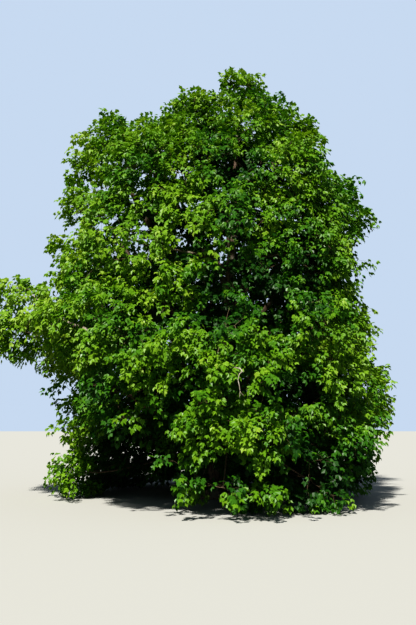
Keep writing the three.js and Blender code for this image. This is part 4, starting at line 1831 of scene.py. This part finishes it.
class Maple:
    """The whole tree: trunk, boughs, side limbs, branches, shoots and leaves."""

    # The radii of a shoot's foot and tip, and how many sides and steps it has.
    shoot_foot, shoot_tip, shoot_sides, shoot_steps = 0.0030, 0.0012, 3, 2

    # Where in a mass its limb ends: inward of its middle and below, as shares of its half size.
    root_inward, root_drop, forks_from = 0.3, 0.12, 1.1

    # What a place on the wood costs a side limb: a steep way down, the trunk itself, and no place below this.
    steep_cost, least_rise, trunk_cost, lowest_limb = 0.9, 0.35, 0.25, 0.45

    # How a side limb leaves and arrives, and how thick it is against the wood below and against its own end.
    along_wood, leaving_lift, arriving_lift, limb_points = 0.5, 0.15, 0.1, 12
    thinner_than_wood, most_taper = 0.95, 1.5

    def __init__(self) -> None:
        names = list(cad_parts)
        self.trunk = Trunk()
        self.boughs = {
            name.removeprefix("bough_"): Bough(name, self.trunk)
            for name in names
            if name.startswith("bough_")
        }
        self.masses = sorted(n for n in names if n != "trunk" and not n.startswith("bough_"))
        self.crown = Crown(self.masses)
        self.branching = Branching()
        self.side_limbs: list[Limb] = []
        self.pale_limbs: list[Limb] = []

    def build(self) -> None:
        """Builds the pieces in order, from the trunk to the leaves."""
        bark, bough_bark = TRUNK_BARK.material(), BOUGH_BARK.material()
        pale, twig_bark = PALE_BARK.material(), TWIG_BARK.material()
        self.trunk.build(bark)
        for name, bough in self.boughs.items():
            bough.build(pale if name == "arm_left" else bough_bark)
        clumps = self.crown.clumps()
        log.info("%d clumps", len(clumps.at))
        self._branch_out(clumps)
        self._build_side_limbs([bough_bark, pale])
        branches = mesh_piece("branches", *joined(self.branching.meshes()), [twig_bark])
        place(branches, [])
        shoots = Shoots.of(clumps)
        count = len(shoots.clump)
        foot, tip = np.full(count, self.shoot_foot), np.full(count, self.shoot_tip)
        swept = shoots.curves.swept(foot, tip, self.shoot_sides, self.shoot_steps, pointed=True)
        place(mesh_piece("shoots", *swept, [twig_bark]), [])
        Foliage(self.crown, clumps, shoots).build([finish.material() for finish in LEAF_FINISHES])

    def _branch_out(self, clumps: Clumps) -> None:
        """Grows a limb into each mass and forks it out to the mass's clumps."""
        for number, name in enumerate(self.masses):
            mine = np.flatnonzero(clumps.mass == number)
            if not len(mine):
                continue
            rng = draws(f"branches of {name}")
            solid = self.crown.solids[number]
            thick = self.branching.radius(len(mine))
            inward = -self.crown.outline.outward(solid.middle[None])[0]
            root = solid.middle + inward * solid.half * self.root_inward - UP * self.root_drop * solid.half[2]
            if name in self.boughs:
                bough = self.boughs[name]
                self._side_limb(f"limb_{name}", bough.tip, bough.heading, root, bough.radius[-1], thick)
                heading = unit(root - bough.tip)
            else:
                start, leaving, wide = self._nearest_wood(root)
                self._side_limb(f"limb_{name}", start, leaving, root, wide, thick)
                heading = unit(root - start)
            ends, axes = clumps.at[mine], clumps.axis[mine]
            self.branching.fork(root, heading, ends, axes, rng, thick * self.forks_from)

    def _nearest_wood(self, root: np.ndarray) -> tuple[np.ndarray, np.ndarray, float]:
        """The best place on the trunk or a bough for a side limb to grow from.

        Args:
            root: where the side limb has to reach.

        Returns:
            The place, the direction of the wood there, and the wood's radius.
        """
        best, found = math.inf, None
        woods = [(self.trunk.path, self.trunk.radius)]
        woods += [(bough.path, bough.radius) for bough in self.boughs.values()]
        for path, radius in woods:
            for k in range(2, len(path) - 1):
                gap = root - path[k]
                steep = max(0.0, path[k][2] - root[2] + self.least_rise * np.hypot(*gap[:2]))
                cost = np.linalg.norm(gap) + self.steep_cost * steep
                if path is self.trunk.path:
                    cost += self.trunk_cost
                if cost < best and path[k][2] > self.lowest_limb:
                    best, found = cost, (path[k], unit(path[k + 1] - path[k - 1]), float(radius[k]))
        return found

    def _side_limb(
        self,
        name: str,
        start: np.ndarray,
        leaving: np.ndarray,
        end: np.ndarray,
        wide: float,
        thin: float,
    ) -> None:
        """Adds a limb that leaves the wood below it and arches to its end."""
        chord = unit(end - start)
        leaving = unit(self.along_wood * leaving + (1 - self.along_wood) * chord + self.leaving_lift * UP)
        arriving = unit(chord + self.arriving_lift * UP)
        curve = Curves(start[None], end[None], leaving[None], arriving[None])
        path = curve.at(np.linspace(0, 1, self.limb_points))[0][0]
        thick = min(wide * self.thinner_than_wood, thin * self.most_taper)
        radius = np.linspace(thick, thin, len(path))
        limbs = self.pale_limbs if name.startswith("limb_arm") else self.side_limbs
        limbs.append(Limb(name, path, radius, SIDE_LIMB_RELIEF))

    def _build_side_limbs(self, finishes: list[bpy.types.Material]) -> None:
        """Makes one piece of all the side limbs, of which those in the arm and the dead twig are pale."""
        self.pale_limbs += [Limb(name, *route, DEAD_TWIG_RELIEF) for name, route in DEAD_TWIG.stretches()]
        dark = [limb.tube() for limb in self.side_limbs]
        light = [limb.tube() for limb in self.pale_limbs]
        worn = np.repeat([0, 1], [sum(len(faces) for _, faces in tubes) for tubes in (dark, light)])
        place(mesh_piece("side_limbs", *joined(dark + light), finishes, worn), [])


# The studio


@dataclass(frozen=True)
class Studio:
    """A plain pale floor, a soft key light from high behind the eye, a pale surround and the camera."""

    floor_half: float = 60.0
    floor_colour: Colour = colour(0.42, 0.42, 0.40)
    floor_bounce: Colour = colour(0.13, 0.15, 0.10)
    surround: Colour = colour(0.50, 0.60, 0.74)
    surround_glow: Colour = colour(0.15, 0.19, 0.235)
    key_strength: float = 5.9
    key_softness: float = 3.0
    key_elevation: float = 52.0
    key_azimuth: float = -17.0
    key_tone: Spot = (1.0, 0.96, 0.88)
    pitch: float = 7.78
    focal_pixels: float = 750.0
    frame_height: float = 625.0
    sensor: float = 36.0
    farthest: float = 300.0

    def build(self) -> None:
        """Builds floor, lights and camera."""
        scene = bpy.context.scene
        scene.view_settings.view_transform = "Standard"
        scene.view_settings.look = "Medium High Contrast"
        self._floor()
        self._surround(scene)
        self._key()
        self._camera(scene)

    def _floor(self) -> None:
        """The floor, which isn't part of the tree: pale to look at, though it throws up little light."""
        half = self.floor_half
        corners = np.array([(-half, -half, 0), (half, -half, 0), (half, half, 0), (-half, half, 0)], float)
        finish, nodes, _ = blank_material("floor")
        nodes.remove(nodes["Principled BSDF"])
        shaders = []
        for tone in (self.floor_bounce, self.floor_colour):
            matte = nodes.new("ShaderNodeBsdfDiffuse")
            matte.inputs["Color"].default_value = tone
            shaders.append(matte.outputs["BSDF"])
        show_the_camera(finish.node_tree, *shaders, "Material Output")
        floor = mesh_piece("floor", corners, np.array([(0, 1, 2), (0, 2, 3)]), [finish])

    def _surround(self, scene: bpy.types.Scene) -> None:
        """An even surround: pale to look at, and dimmer where it fills the shadows."""
        world = bpy.data.worlds.new("surround")
        world.use_nodes = True
        glow = world.node_tree.nodes["Background"]
        glow.inputs["Color"].default_value = self.surround_glow
        seen = world.node_tree.nodes.new("ShaderNodeBackground")
        seen.inputs["Color"].default_value = self.surround
        faces = (glow.outputs["Background"], seen.outputs["Background"])
        show_the_camera(world.node_tree, *faces, "World Output")
        scene.world = world

    def _key(self) -> None:
        """The key light: high, behind the eye and a little to its left."""
        lamp = bpy.data.lights.new("key", "SUN")
        lamp.energy = self.key_strength
        lamp.angle = math.radians(self.key_softness)
        lamp.color = self.key_tone
        key = bpy.data.objects.new("key", lamp)
        key.rotation_euler = (math.radians(90 - self.key_elevation), 0, math.radians(self.key_azimuth))
        bpy.context.scene.collection.objects.link(key)

    def _camera(self, scene: bpy.types.Scene) -> None:
        """The camera, at eye height in front of the tree, tilted up a little."""
        lens = bpy.data.cameras.new("eye")
        lens.sensor_width = self.sensor
        lens.lens = self.focal_pixels * self.sensor / self.frame_height
        lens.clip_end = self.farthest
        eye = bpy.data.objects.new("eye", lens)
        eye.location = EYE
        eye.rotation_euler = (math.radians(90 + self.pitch), 0, 0)
        scene.collection.objects.link(eye)
        scene.camera = eye


def main() -> None:
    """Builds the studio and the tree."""
    logging.basicConfig(level=logging.INFO, format="%(name)s: %(message)s")
    Studio().build()
    Maple().build()


if __name__ == "__main__":
    main()
